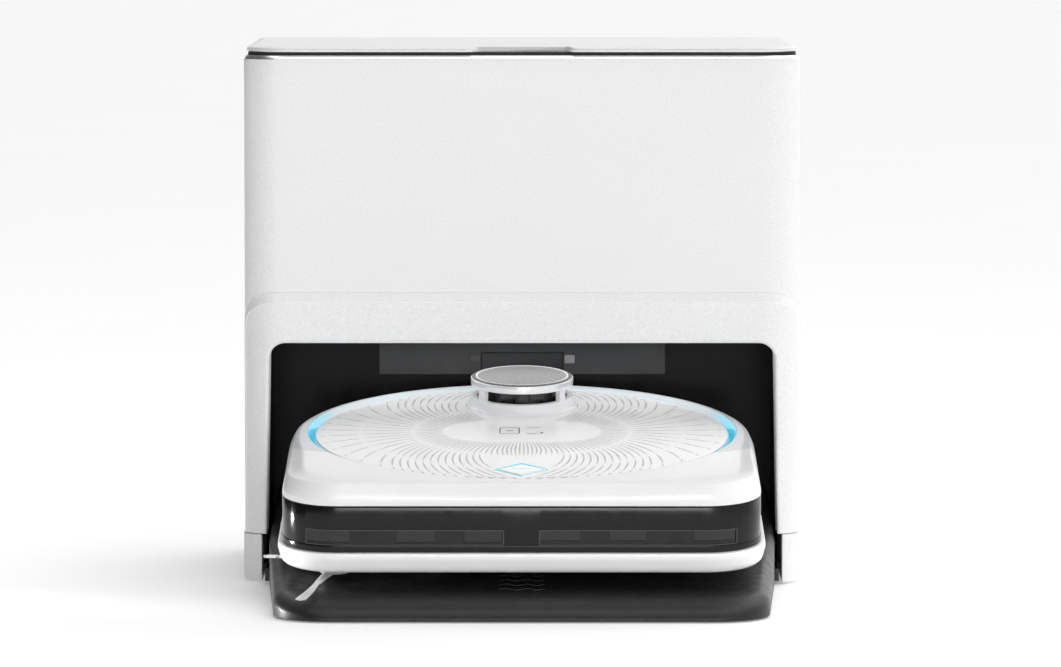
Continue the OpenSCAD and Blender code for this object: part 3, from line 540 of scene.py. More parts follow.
def spread(s0, s1, step=3 * MM):
    """Evenly spaced distances from s0 to s1, both included."""
    count = max(2, math.ceil(abs(s1 - s0) / step))
    return [s0 + (s1 - s0) * i / count for i in range(count + 1)]


def along(distances, profile):
    """Profile of (outwards, height) swept along the outline, with end faces."""
    rings = []
    for s in distances:
        p, n = on_outline(s)
        rings.append([(p[0] + n[0] * g, p[1] + n[1] * g, z) for g, z in profile])
    return capped(rings)


def distance_at_x(x):
    """Distance round the outline at which it has reached a given x, up to the corner."""
    if x <= FRONT_LEN:
        return x
    return FRONT_LEN + CORNER_R * math.asin((x - FRONT_LEN) / CORNER_R)


BUMPER_END = FRONT_LEN + CORNER_LEN + BUMP_HIGH.y - CORNER_R


# ---------- robot: bumper and lip

WINDOW_IN = 12.7 * MM                     # where each sensor window starts beside the middle
WINDOW_LOW, WINDOW_HIGH = robot_box("bumper_windows")


def build_bumper():
    """Glossy band with a fine step under the sensor windows, and a recess for each window."""
    z0, z1 = BUMP_LOW.z, BUMP_HIGH.z
    inner = -3 * MM
    soft = 0.7 * MM
    stand = 0.45 * MM                     # the lower part stands proud by this
    step = WINDOW_LOW.z - 0.55 * MM
    profile = [(inner, z0 + 0.2 * MM), (-soft, z0 + 0.2 * MM), (0.25 * MM, z0 + 0.5 * MM),
               (stand, z0 + soft), (stand, step - stand), (0.3 * MM, step - 0.1 * MM), (0, step),
               (0, z1 - soft), (-0.25 * MM, z1 - 0.2 * MM), (-soft, z1), (inner, z1)]
    mesh = mesh_of(*along(spread(-BUMPER_END, BUMPER_END), profile))
    low, high = WINDOW_LOW.z, WINDOW_HIGH.z
    s0, s1 = distance_at_x(WINDOW_IN), distance_at_x(WINDOW_HIGH.x)
    rim = [(-1.5 * MM, low), (2 * MM, low), (2 * MM, high), (-1.5 * MM, high)]
    for side in (-1, 1):
        mesh = cut(mesh, along(spread(side * s0, side * s1), rim))
    mesh.transform(ROBOT)
    finish_piece("bumper_band", mesh, "bumper", "bumper_black", replaces=("bumper",))
    build_windows(low, high, s0, s1)


def bar(s0, s1, deep, proud, z0, z1):
    """Bar along the bumper between two distances, from deep to proud of the outline."""
    return along(spread(s0, s1), [(deep, z0), (proud, z0), (proud, z1), (deep, z1)])


def build_windows(z0, z1, near, far):
    """Sensor blocks, their tinted back and the thin outline of each window."""
    back, blocks, trim, ribs = [], [], [], []
    line = 0.35 * MM
    deep, pane, face = -1.45 * MM, -0.9 * MM, -0.95 * MM
    sunk, proud = -0.3 * MM, 0.12 * MM
    for side in (-1, 1):
        s0, s1 = side * near, side * far
        back.append(bar(s0, s1, deep, pane, z0, z1))
        trim.append(bar(s0, s1, sunk, proud, z0 - line, z0 + line / 2))
        trim.append(bar(s0, s1, sunk, proud, z1 - line / 2, z1 + line))
        for s in (s0, s1):
            trim.append(bar(s - line, s + line, sunk, proud, z0 - line, z1 + line))
    # left and right end of each block, and how far its foot is over the window's
    spans = [(-152, -121, 1.6), (-88.6, -60.4, 1.6), (-40.6, -13.4, 1.6),
             (12.7, 41.2, 2.6), (61.7, 88.5, 2.6), (121.6, 151.1, 2.6)]
    for a, b, lift in spans:
        ends = [math.copysign(distance_at_x(abs(v) * MM), v) for v in (a, b)]
        foot, top = z0 + lift * MM, z1 - 0.3 * MM
        shape = [(face, foot), (sunk, foot + 0.5 * MM), (sunk, top), (face, top)]
        blocks.append(along(spread(ends[0] + 0.4 * MM, ends[1] - 0.4 * MM), shape))
    for centre in (-112 * MM, 108 * MM):
        for i in range(6):
            s = centre + (i - 2.5) * 1.5 * MM
            ribs.append(bar(s, s + 0.7 * MM, face, -0.5 * MM, z0 + 0.6 * MM, z1 - 0.6 * MM))
    for name, parts, mat, node in (("window_panes", back, None, ("bumper_windows",)),
                                   ("window_sensors", blocks, MATS["turret_black"], ()),
                                   ("window_ribs", ribs, None, ()), ("window_trim", trim, TRIM_LINE, ())):
        add(name, *join_parts(parts), "bumper", "window_dark", mat, place=ROBOT, replaces=node)


def build_lip():
    """White lower lip of the bumper: upright above, drawn in below."""
    low, high = robot_box("bumper_lip")
    out = (high.x - low.x) / 2 - HALF_W
    z0, z1 = low.z, high.z
    profile = [(-3 * MM, z1)]
    profile += [(out - inset * MM, z1 - down * MM) for inset, down in
                ((1.6, 0), (0.6, 0.3), (0.1, 1.1), (0, 2), (0, 4.6), (0.5, 5.6), (1.3, 9.5), (2.6, 12.6))]
    profile += [(out - 4.6 * MM, z0 + 0.6 * MM), (-3 * MM, z0)]
    # The lip keeps the robot_white slot but wears the brighter copy: painted light.
    add("lower_lip", *along(spread(-BUMPER_END, BUMPER_END), profile), "bumper", "robot_white", LIP_PAINTED_LIGHT_WHITE,
        place=ROBOT, replaces=("bumper_lip",))


# ---------- robot: decks, ring, cover

DECK_LOW, DECK_HIGH = robot_box("front_deck")
SEAM_S = FRONT_LEN + CORNER_LEN + (119 * MM - CORNER_R)   # where the decks meet on the outline
SEAM_SWING = math.radians(-9.5)                           # turns the seam towards the nose
SHOULDER = 5.5 * MM


def deck_ray(s):
    """Outline point, the ring's point it is joined to, and the space between them."""
    p = on_outline(s)[0]
    angle = math.atan2(p[1] - RING_Y, p[0])
    reach = (abs(s) - SEAM_S) / (60 * MM)
    swing = SEAM_SWING * max(0.0, 1 - reach * reach) ** 2
    angle += swing if s >= 0 else -swing
    q = (RING_R * math.cos(angle), RING_Y + RING_R * math.sin(angle))
    room = math.hypot(p[0] - q[0], p[1] - q[1])
    return p, q, room, angle


def deck_section(s):
    """Closed section of the deck from its lower edge up and over to the ring's seat."""
    p, q, room, angle = deck_ray(s)
    way = ((q[0] - p[0]) / room, (q[1] - p[1]) / room)
    top = DECK_HIGH.z
    base = DECK_LOW.z
    m = min(SHOULDER, 0.62 * room)

    def at(inset, z):
        return (p[0] + way[0] * inset, p[1] + way[1] * inset, z)

    def on_ring(r, z):
        return (r * math.cos(angle), RING_Y + r * math.sin(angle), z)

    slope = [(0.0, 0.19), (0.03, 0.27), (0.1, 0.38), (0.3, 0.58), (0.55, 0.78), (0.8, 0.935),
             (0.92, 0.98), (1.06, 1.0)]
    height = top - base
    section = [at(0.8 * MM, base), at(0.25 * MM, base + 0.12 * MM), at(0, base + 0.6 * MM)]
    section += [at(m * a, base + height * b) for a, b in slope]
    edge = m * slope[-1][0]
    section += [at(edge + (room - 0.25 * MM - edge) * t, top) for t in (0.33, 0.66, 1.0)]
    section += [on_ring(RING_R + 0.1 * MM, top - 0.25 * MM), on_ring(RING_R + 0.1 * MM, top - 4 * MM)]
    section += [on_ring(RING_R - 8.5 * MM, top - 4 * MM), on_ring(RING_R - 8.5 * MM, top - 7 * MM)]
    section += [at(7.5 * MM, top - 7 * MM), at(7.5 * MM, base)]
    return section


def build_decks():
    """Front and rear deck, swept round the outline on either side of their seam."""
    gap = 0.2 * MM
    front = [deck_section(s) for s in spread(-SEAM_S + gap, SEAM_S - gap)]
    rear = [deck_section(s) for s in spread(SEAM_S + gap, HALF_LEN)]
    rear += [deck_section(s) for s in spread(-HALF_LEN, -SEAM_S - gap)]
    for name, rings, slot, node in (("deck_front", front, "robot_white", "front_deck"),
                                    ("deck_rear", rear, "robot_grey", "top_shell")):
        add(name, *capped(rings), "robot", slot, place=ROBOT, angle=40, replaces=(node,))


def build_ring():
    """Light guide between the decks and the cover, sunk towards the cover."""
    z0, top = RING_LOW.z, DECK_HIGH.z
    inner = robot_box("disc_lid")[1].x + 0.3 * MM
    outer = RING_R
    profile = [(inner, z0), (inner, top - 3 * MM), (inner + 0.3 * MM, top - 2.75 * MM),
               ((inner + outer) / 2, top - 1.35 * MM), (outer - 0.5 * MM, top - 0.2 * MM),
               (outer - 0.15 * MM, top - 0.15 * MM), (outer, top - 0.4 * MM), (outer, z0)]
    verts, faces = lathe(profile, (0, RING_Y), 256)
    add("light_guide", verts, faces, "robot", "ring_cyan", place=ROBOT, replaces=("light_ring",))


COVER_LOW, COVER_HIGH = robot_box("disc_lid")
COVER_R = COVER_HIGH.x
COVER_CROWN = 1.6 * MM
TOWER_Y = (ROBOT.inverted() @ Vector(JOINTS["turret_spin"]["pos_m"])).y
TOWER_HOLE = 41.75 * MM
BUTTON_LOW, BUTTON_HIGH = robot_box("start_button")
BUTTON_Y = (BUTTON_LOW.y + BUTTON_HIGH.y) / 2
BUTTON_HALF = (BUTTON_HIGH.x - BUTTON_LOW.x) / 2


def cover_z(r):
    """Height of the cover's crowned top at a distance from its middle."""
    return COVER_HIGH.z - COVER_CROWN * (r / COVER_R) ** 2


def round_outline(half, radius, y, steps=6):
    """Square on its corner with rounded tips, about a point on the centre line."""
    points = []
    reach = half - radius * math.sqrt(2)
    for k in range(4):
        mid = math.radians(90 * k)
        centre = (reach * math.cos(mid), y + reach * math.sin(mid))
        for i in range(steps + 1):
            a = mid + math.radians(-45 + 90 * i / steps)
            points.append((centre[0] + radius * math.cos(a), centre[1] + radius * math.sin(a)))
    return points


def prism(points, z0, z1):
    """Upright prism over a closed outline."""
    return capped([[(x, y, z) for x, y in points] for z in (z0, z1)])


def tapered(points_of, levels):
    """Closed body through outlines points_of(inset) at (inset, height) levels."""
    return capped([[(x, y, z) for x, y in points_of(inset)] for inset, z in levels])


def build_cover():
    """Crowned round cover with holes for the tower and the start key."""
    rim = [(COVER_R - 0.9 * MM, COVER_LOW.z), (COVER_R - 0.2 * MM, COVER_LOW.z + 0.3 * MM),
           (COVER_R, cover_z(COVER_R) - 0.5 * MM), (COVER_R - 0.25 * MM, cover_z(COVER_R) - 0.1 * MM)]
    top = [(COVER_R * (1 - i / 24), cover_z(COVER_R * (1 - i / 24))) for i in range(24)]
    top[0] = (COVER_R - 0.8 * MM, cover_z(COVER_R) + 0.01 * MM)
    profile = rim + top + [(0.5 * MM, cover_z(0)), (0.5 * MM, COVER_LOW.z)]
    mesh = mesh_of(*lathe(profile, (0, RING_Y), 192))
    hole = [(TOWER_HOLE * math.cos(a), TOWER_Y + TOWER_HOLE * math.sin(a))
            for a in (2 * math.pi * i / 96 for i in range(96))]
    mesh = cut(mesh, prism(hole, 0.05, 0.1))
    mesh = cut(mesh, prism(round_outline(BUTTON_HALF + 0.5 * MM, 1.5 * MM, BUTTON_Y), 0.05, 0.1))
    mesh.transform(ROBOT)
    finish_piece("round_cover", mesh, "cover", "disc_white", replaces=("disc_lid",))


def surface_strip(points, width, lift):
    """Thin flat strip with tapered ends that lies on the cover along a line of (x, y) points."""
    n = len(points)
    left, right = [], []
    for i, (x, y) in enumerate(points):
        a = points[max(0, i - 1)]
        b = points[min(n - 1, i + 1)]
        d = math.hypot(b[0] - a[0], b[1] - a[1])
        side = (-(b[1] - a[1]) / d, (b[0] - a[0]) / d)
        w = width / 2 * min(1.0, 0.35 + 2.2 * min(i, n - 1 - i) / (n - 1))
        for out, sign in ((left, 1), (right, -1)):
            px, py = x + side[0] * w * sign, y + side[1] * w * sign
            out.append((px, py, cover_z(math.hypot(px, py - RING_Y))))
    low = 0.1 * MM
    rings = [[(x, y, z - low) for x, y, z in left], [(x, y, z + lift) for x, y, z in left],
             [(x, y, z + lift) for x, y, z in right], [(x, y, z - low) for x, y, z in right]]
    return capped([list(r) for r in zip(*rings)])


def build_dashes():
    """Fine curved dashes in bands round the cover. They bend towards its front and its back."""
    bands = [(36, 78), (81, 117), (120, 141), (143.5, 147.5)]     # radii in millimetres
    per_turn = 108
    twist = 0.95                                                  # radians, at the cover's edge
    parts = []
    for r0, r1 in bands:
        for k in range(per_turn):
            start = 2 * math.pi * (k + 0.5) / per_turn
            across, ahead = math.cos(start), -math.sin(start)
            pull = math.copysign(1, across) * math.copysign(1, ahead)
            calm = min(1.0, abs(ahead) * 3) * min(1.0, abs(across) * 4)
            first = max(r0, 36 + 22 * abs(across) ** 2)
            line = []
            for i in range(8):
                r = (first + (r1 - first) * i / 7) * MM
                angle = start - pull * calm * twist * max(0.0, r / COVER_R - 0.3) ** 1.5
                line.append((r * math.cos(angle), RING_Y + r * math.sin(angle)))
            near_tower = min(math.hypot(x, y - TOWER_Y) for x, y in line) < TOWER_HOLE + 3 * MM
            near_button = min(abs(x) + abs(y - BUTTON_Y) for x, y in line) < BUTTON_HALF + 5 * MM
            if not (near_tower or near_button):
                parts.append(surface_strip(line, 1.25 * MM, 0.06 * MM))
    # The dashes are the cover's fine grooves. Their grey is painted shade, not a print.
    add("cover_dashes", *join_parts(parts), "cover", "disc_white", DASH_SHADE_GREY, place=ROBOT)


def outline_strip(points, width, lift):
    """Closed thin line that lies on the cover."""
    return surface_strip(points + [points[0], points[1]], width, lift)


def build_button():
    """Start key with its lit outline, and a second lit outline on the cover round it."""
    top = BUTTON_HIGH.z
    levels = [(0.6 * MM, BUTTON_LOW.z), (0, BUTTON_LOW.z + 0.3 * MM), (0, top - 0.6 * MM),
              (0.25 * MM, top - 0.2 * MM), (0.9 * MM, top - 0.02 * MM), (3 * MM, top)]

    def shape(inset):
        return round_outline(BUTTON_HALF - inset * 1.2, max(0.4 * MM, 1.6 * MM - inset * 0.3), BUTTON_Y)

    add("start_key", *tapered(shape, levels), "button", "button_white", place=ROBOT,
        replaces=("start_button",))
    lift = top - cover_z(BUTTON_Y - RING_Y) + 0.05 * MM
    lozenge = round_outline(BUTTON_HALF - 1.6 * MM, 1.2 * MM, BUTTON_Y)
    ring = outline_strip(lozenge, 0.9 * MM, lift)
    dash = surface_strip([((i - 4) * 1.7 * MM, BUTTON_Y + 1 * MM) for i in range(9)], 0.7 * MM, lift)
    add("start_key_lines", *join_parts([ring, dash]), "button", "button_white", CYAN_INK, place=ROBOT)
    lozenge = round_outline(BUTTON_HALF + 1.0 * MM, 1.6 * MM, BUTTON_Y)
    halo = outline_strip(lozenge, 0.8 * MM, 0.07 * MM)
    add("start_key_halo", *halo, "cover", "disc_white", CYAN_INK, place=ROBOT)


def build_icons():
    """Two small generic touch marks behind the middle of the cover."""
    y0, y1 = 168 * MM, 188 * MM
    lift = 0.08 * MM
    box = [(-15, y0), (-9, y0), (-3, y0), (-2, y0 + 2 * MM), (-2, y1 - 2 * MM), (-3, y1), (-9, y1),
           (-15, y1), (-16, y1 - 2 * MM), (-16, y0 + 2 * MM)]
    parts = [outline_strip([(x * MM, y) for x, y in box], 0.9 * MM, lift)]
    for first, step, y, width in ((-12, 1.2, (y0 + y1) / 2, 1.4), (3, 1.8, y0, 1.2), (3, 2.2, y1, 0.8)):
        line = [((first + step * i) * MM, y) for i in range(6)]
        parts.append(surface_strip(line, width * MM, lift))
    parts.append(surface_strip([(14.5 * MM, y0 + (1 + i) * MM) for i in range(5)], 2.6 * MM, lift))
    add("touch_marks", *join_parts(parts), "cover", "disc_white", DARK_INK, place=ROBOT)


# ---------- robot: laser tower

def arc_block(r0, r1, a0, a1, z0, z1, steps=5):
    """Block bent round the tower's axis. Angles are in degrees from the nose."""
    rings = []
    for i in range(steps + 1):
        a = math.radians(a0 + (a1 - a0) * i / steps - 90)
        c, s = math.cos(a), math.sin(a)
        rings.append([(r * c, TOWER_Y + r * s, z) for r, z in ((r0, z0), (r1, z0), (r1, z1), (r0, z1))])
    return capped(rings)


def build_tower():
    """White foot and pillars, chrome band, dark glass collar and brushed plate."""
    cage_top = robot_box("lidar_cage")[1].z
    cap_top = robot_box("lidar_cap")[1].z
    deck = DECK_HIGH.z
    axis = (0, TOWER_Y)
    foot = [(33.5, -17), (41.4, -17), (41.4, -2.6), (41.3, -1.3), (40.9, -0.75), (39.9, -0.35), (39.1, 0.5),
            (38.6, 1.9), (38.4, 4.2), (38.3, 5.7), (37.8, 6.4), (37.0, 6.6), (33.5, 6.6)]
    parts = [lathe([(r * MM, deck + z * MM) for r, z in foot], axis)]
    for a in (-54, 54, -150, 150):
        parts.append(arc_block(33.6 * MM, 37.4 * MM, a - 5.5, a + 5.5, deck + 6.2 * MM, cage_top))
    parts.append(box_part((-92 * MM, TOWER_Y - 7 * MM, 60 * MM), (92 * MM, TOWER_Y + 7 * MM, 62.9 * MM)))
    for x0, x1 in ((-92, -86), (86, 92)):
        parts.append(box_part((x0 * MM, TOWER_Y - 7 * MM, 15 * MM), (x1 * MM, TOWER_Y + 7 * MM, 60 * MM)))
    add("tower_cage", *join_parts(parts), "robot", "lidar_white", place=ROBOT, replaces=("lidar_cage",))

    def ring(name, points, mat, steps=160, extra=()):
        profile = [(r * MM, cap_top + z * MM) for r, z in points]
        add(name, *lathe(profile, axis, steps), "robot", "lidar_white", mat, place=ROBOT, replaces=extra)

    ring("tower_band", [(0.4, -6.9), (37.3, -6.9), (38.1, -6.5), (38.2, -5.9), (38.2, -1.7), (37.9, -1.2),
                        (37.3, -1.0), (0.4, -1.0)], CHROME, extra=("lidar_cap",))
    ring("tower_collar", [(33.5, -0.98), (37.4, -0.98), (37.2, -0.7), (35.2, -0.35), (33.5, -0.3)],
         MATS["turret_black"])
    ring("tower_plate", [(0.4, -0.9), (34.2, -0.9), (34.6, -0.7), (34.7, -0.3), (34.5, -0.05), (34.1, 0.0),
                         (33.7, -0.06), (33.4, -0.22), (0.4, -0.2)], MATS["lidar_white"])
    ring("tower_inlay", [(0.4, -0.3), (33.35, -0.3), (33.2, -0.12), (32.9, -0.08), (0.4, -0.08)], BRUSHED)
    spindle = [(0.2 * MM, 63 * MM), (3 * MM, 63 * MM), (3 * MM, cage_top), (0.2 * MM, cage_top)]
    add("tower_spindle", *lathe(spindle, axis, 32), "robot", "pin_steel", place=ROBOT)
    refined("lidar_head", 0.4 * MM)
    refined("lidar_pulley", 0.3 * MM)


# ---------- robot: running gear, brushes, mop

def tube(points, radius_at, sides=6):
    """Round bar along points, with its radius given at each place from 0 to 1."""
    rings = []
    n = len(points)
    for i, p in enumerate(points):
        a = Vector(points[max(0, i - 1)])
        b = Vector(points[min(n - 1, i + 1)])
        way = (b - a).normalized()
        u = way.orthogonal().normalized()
        v = way.cross(u)
        r = radius_at(i / (n - 1))
        rings.append([Vector(p) + (u * math.cos(t) + v * math.sin(t)) * r
                      for t in (2 * math.pi * k / sides for k in range(sides))])
    return capped(rings)


def build_side_brush():
    """Hub, three tapered sleeves and a bundle of bristles from each."""
    axis = ROBOT.inverted() @ Vector(JOINTS["side_brush_spin"]["pos_m"])
    hub = [(3.1, 4.2), (9, 4.0), (11.4, 4.5), (12, 5.4), (12, 9.4), (11.2, 10.3), (8, 10.5), (3.1, 10.5)]
    parts = [lathe([(r * MM, z * MM) for r, z in hub], (axis.x, axis.y), 48)]
    hairs = []
    for arm in range(3):
        turn = math.radians(256 + 120 * arm)
        out = Vector((math.cos(turn), math.sin(turn), 0))
        side = Vector((-out.y, out.x, 0))
        base = Vector((axis.x, axis.y, 0))

        def spot(along_arm, aside, z):
            return base + out * (along_arm * MM) + side * (aside * MM) + Vector((0, 0, z * MM))

        rings = []
        for d, half, z0, z1 in ((8, 4.0, 5, 9.2), (16, 3.0, 5.2, 8.8), (32, 2.4, 5.3, 8.4),
                                (44, 2.1, 5.4, 8.0), (46, 1.6, 5.8, 7.6)):
            under = [(-half, z0 + 0.5), (-half * 0.6, z0), (half * 0.6, z0), (half, z0 + 0.5)]
            over = [(half, z1 - 0.6), (half * 0.5, z1), (-half * 0.5, z1), (-half, z1 - 0.6)]
            rings.append([spot(d, aside, z) for aside, z in under + over])
        parts.append(capped(rings))
        for i in range(27):
            row, col = divmod(i, 9)
            fan = (col - 4) / 4
            lane = (row - 1) * 0.7
            length = 33 - 2.5 * abs(fan) - (i * 7 % 5) * 0.5
            line = []
            for k in range(7):
                t = k / 6
                bend = -4.2 * t * t
                spot_z = 6.8 + lane * (1 - 0.4 * t) - 4.3 * t - 0.9 * t * t
                line.append(spot(45 + length * t, fan * (1.0 + 2.4 * t) + bend, max(spot_z, 1.2)))
            hairs.append(tube(line, lambda t: (0.32 - 0.17 * t) * MM, 5))
    add("side_brush_hub", *join_parts(parts), "side_brush", "side_brush_grey", place=ROBOT,
        replaces=("side_brush",))
    add("side_brush_bristles", *join_parts(hairs), "side_brush", "side_brush_grey", place=ROBOT)


def build_roller():
    """Main brush: a core with soft fins that wind a little round it."""
    low, high = robot_box("roller_brush")
    axis_y, axis_z = (low.y + high.y) / 2, (low.z + high.z) / 2
    half = high.x - 2.6 * MM
    end = half + 1.6 * MM
    core = [(0.3, -end), (2.9, -end), (2.9, -half), (7.2, -half), (8, -half + 1 * MM),
            (8, half - 1 * MM), (7.2, half), (2.9, half), (2.9, end), (0.3, end)]
    verts, faces = lathe([(r * MM, z) for r, z in core], (0, 0), 48)
    parts = [([(z, y, -x) for x, y, z in verts], faces)]
    reach = (high.z - low.z) / 2 - 0.3 * MM
    rise = [(7 * MM, 1.4 * MM), (reach * 0.8, 0.9 * MM), (reach, 0.6 * MM)]
    fin_shape = rise + [(r, -w) for r, w in reversed(rise)]
    for fin in range(6):
        rings = []
        for i in range(33):
            x = -half + 2 * MM + (2 * half - 4 * MM) * i / 32
            bend = math.radians(60 * fin + 14 * math.cos(math.pi * (i - 16) / 32 * 2))
            c, s = math.cos(bend), math.sin(bend)
            rings.append([(x, r * c - w * s, r * s + w * c) for r, w in fin_shape])
        parts.append(capped(rings))
    verts, faces = join_parts(parts)
    verts = [(v[0], v[1] + axis_y, v[2] + axis_z) for v in verts]
    add("main_roller", verts, faces, "roller", "roller_rubber", place=ROBOT, replaces=("roller_brush",))


def pad_outline(low, high, radius, inset, steps=8):
    """Rounded rectangle inside a box's plan."""
    points = []
    r = max(0.5 * MM, radius - inset)
    for k, (sx, sy) in enumerate(((1, -1), (1, 1), (-1, 1), (-1, -1))):
        cx = (high[0] - inset - r) if sx > 0 else (low[0] + inset + r)
        cy = (high[1] - inset - r) if sy > 0 else (low[1] + inset + r)
        for i in range(steps + 1):
            a = math.radians(-90 + 90 * k + 90 * i / steps)
            points.append((cx + r * math.cos(a), cy + r * math.sin(a)))
    return points


def build_mop_pad():
    """Soft looped pad: a crowned body whose skin is worked up into rows of tufts."""
    low, high = robot_box("mop_pad")
    thick = high.z - low.z
    columns, rows = 96, 30
    mid = (low + high) / 2
    size = high - low
    verts, faces = [], []
    for side in (0, 1):
        for j in range(rows + 1):
            for i in range(columns + 1):
                u, v = 2 * i / columns - 1, 2 * j / rows - 1
                squeeze = 1 - 0.16 * (abs(u) ** 8) * (abs(v) ** 8)
                edge = max(abs(u) ** 14, abs(v) ** 10)
                swell = (1 - edge) ** 0.5
                x = mid.x + u * size.x / 2 * squeeze
                y = mid.y + v * size.y / 2 * squeeze
                tuft = 0.5 + 0.5 * math.sin(i * 2.1 + math.sin(j * 1.7)) * math.cos(j * 2.3)
                if side:
                    z = mid.z + swell * (thick / 2 - 0.3 * MM)
                else:
                    z = mid.z - swell * (thick / 2 - 0.7 * MM * tuft)
                verts.append((x, y, z))
    step = columns + 1
    base = step * (rows + 1)
    for j in range(rows):
        for i in range(columns):
            a = j * step + i
            faces.append((a, a + step, a + step + 1, a + 1))
            faces.append((base + a, base + a + 1, base + a + step + 1, base + a + step))
    pad = add("mop_cushion", verts, faces, "mop", "mop_cloth", place=ROBOT, angle=80, replaces=("mop_pad",))
    points = [(x, y, mid.z + 0.4 * MM) for x, y in pad_outline(low, high, 12 * MM, 1.0 * MM)]
    add("mop_binding", *tube(points + [points[0]], lambda t: 0.75 * MM, 8), "mop", "mop_cloth", place=ROBOT)


# ---------- station: front

PANEL_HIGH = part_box("front_panel")[1]
ARCH_LOW, ARCH_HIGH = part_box("arch_frame")
SKIRT_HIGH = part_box("base_skirt")[1]
FACE_Y = ARCH_LOW.y
SEAM_Y = ARCH_HIGH.y
ST_HALF = SKIRT_HIGH.x
ST_R = 27 * MM
FLAT_HALF = ST_HALF - ST_R
PANEL_BACK = 4 * MM            # the panel stands back from the arch
PANEL_SIDE = 1.2 * MM
LEDGE_H = 6.5 * MM
LID_T = 3.7 * MM
SKIN = 0.2 * MM                 # a rounded body keeps this far inside the CAD node it shapes
ARCH_TOP = ARCH_HIGH.z - LEDGE_H
ARC = ST_R * math.pi / 2


def cabinet_point(u, front, side):
    """Point of the cabinet's front half at a distance round, drawn in at the front and sides."""
    sign = 1 if u >= 0 else -1
    t = abs(u)
    if t <= FLAT_HALF:
        return (u, FACE_Y + front)
    if t <= FLAT_HALF + ARC:
        a = (t - FLAT_HALF) / ST_R
        rx, ry = ST_R - side, ST_R - front
        return (sign * (FLAT_HALF + rx * math.sin(a)), FACE_Y + ST_R - ry * math.cos(a))
    return (sign * (ST_HALF - side), FACE_Y + ST_R + t - FLAT_HALF - ARC)


SIDE_END = FLAT_HALF + ARC + (SEAM_Y - FACE_Y - ST_R)


def drop(u, across, down):
    """How far a line has sunk at u, on an elliptic corner that starts where the front ends."""
    t = min(1.0, max(0.0, (abs(u) - FLAT_HALF) / across))
    return down * (1 - math.sqrt(max(0.0, 1 - t * t)))


INNER_CORNER = (30.5 * MM, 18 * MM)
OUTER_CORNER = (40 * MM, 24 * MM)


def arch_lines(count=28, legs=18):
    """Matching runs of (u, z): the opening's edge, the ledge's lower line and its upper line."""
    foot = ARCH_LOW.z
    half_top, half_low, top_z, r = 186 * MM, 189 * MM, 179 * MM, 12 * MM
    opening, inner, outer = [], [], []
    for i in range(legs):
        t = i / legs
        z = foot + (top_z - r - foot) * t
        opening.append((half_low + (half_top - half_low) * z / (top_z - r), z))
        end = ARCH_TOP - INNER_CORNER[1]
        inner.append((FLAT_HALF + INNER_CORNER[0], foot + (end - foot) * t))
        end = ARCH_HIGH.z - OUTER_CORNER[1]
        outer.append((FLAT_HALF + OUTER_CORNER[0], foot + (end - foot) * t))
    for i in range(count):
        a = math.pi / 2 * i / count
        opening.append((half_top - r + r * math.cos(a), top_z - r + r * math.sin(a)))
        for run, (wide, tall), top in ((inner, INNER_CORNER, ARCH_TOP), (outer, OUTER_CORNER, ARCH_HIGH.z)):
            run.append((FLAT_HALF + wide * math.cos(a), top - tall * (1 - math.sin(a))))
    for i in range(11):
        t = i / 10
        opening.append(((half_top - r) * (1 - t), top_z))
        inner.append((FLAT_HALF * (1 - t), ARCH_TOP))
        outer.append((FLAT_HALF * (1 - t), ARCH_HIGH.z))
    mirror = [[(-u, z) for u, z in reversed(run[:-1])] for run in (opening, inner, outer)]
    return [run + m for run, m in zip((opening, inner, outer), mirror)]


def opening_ring(run, grow, depth):
    """The opening's edge moved outwards in the face by grow and back by depth.

    Deeper than the rounded edge the ring is level with the flat face, so that the reveal is straight.
    """
    ring = []
    n = len(run)
    for i, (u, z) in enumerate(run):
        a, b = run[max(0, i - 1)], run[min(n - 1, i + 1)]
        du, dz = b[0] - a[0], b[1] - a[1]
        d = math.hypot(du, dz)
        out = (dz / d, -du / d)
        x, y = cabinet_point(u + out[0] * grow, 0, 0)
        ring.append((x, FACE_Y + depth if depth > 3 * MM else y + depth, z + out[1] * grow))
    return ring


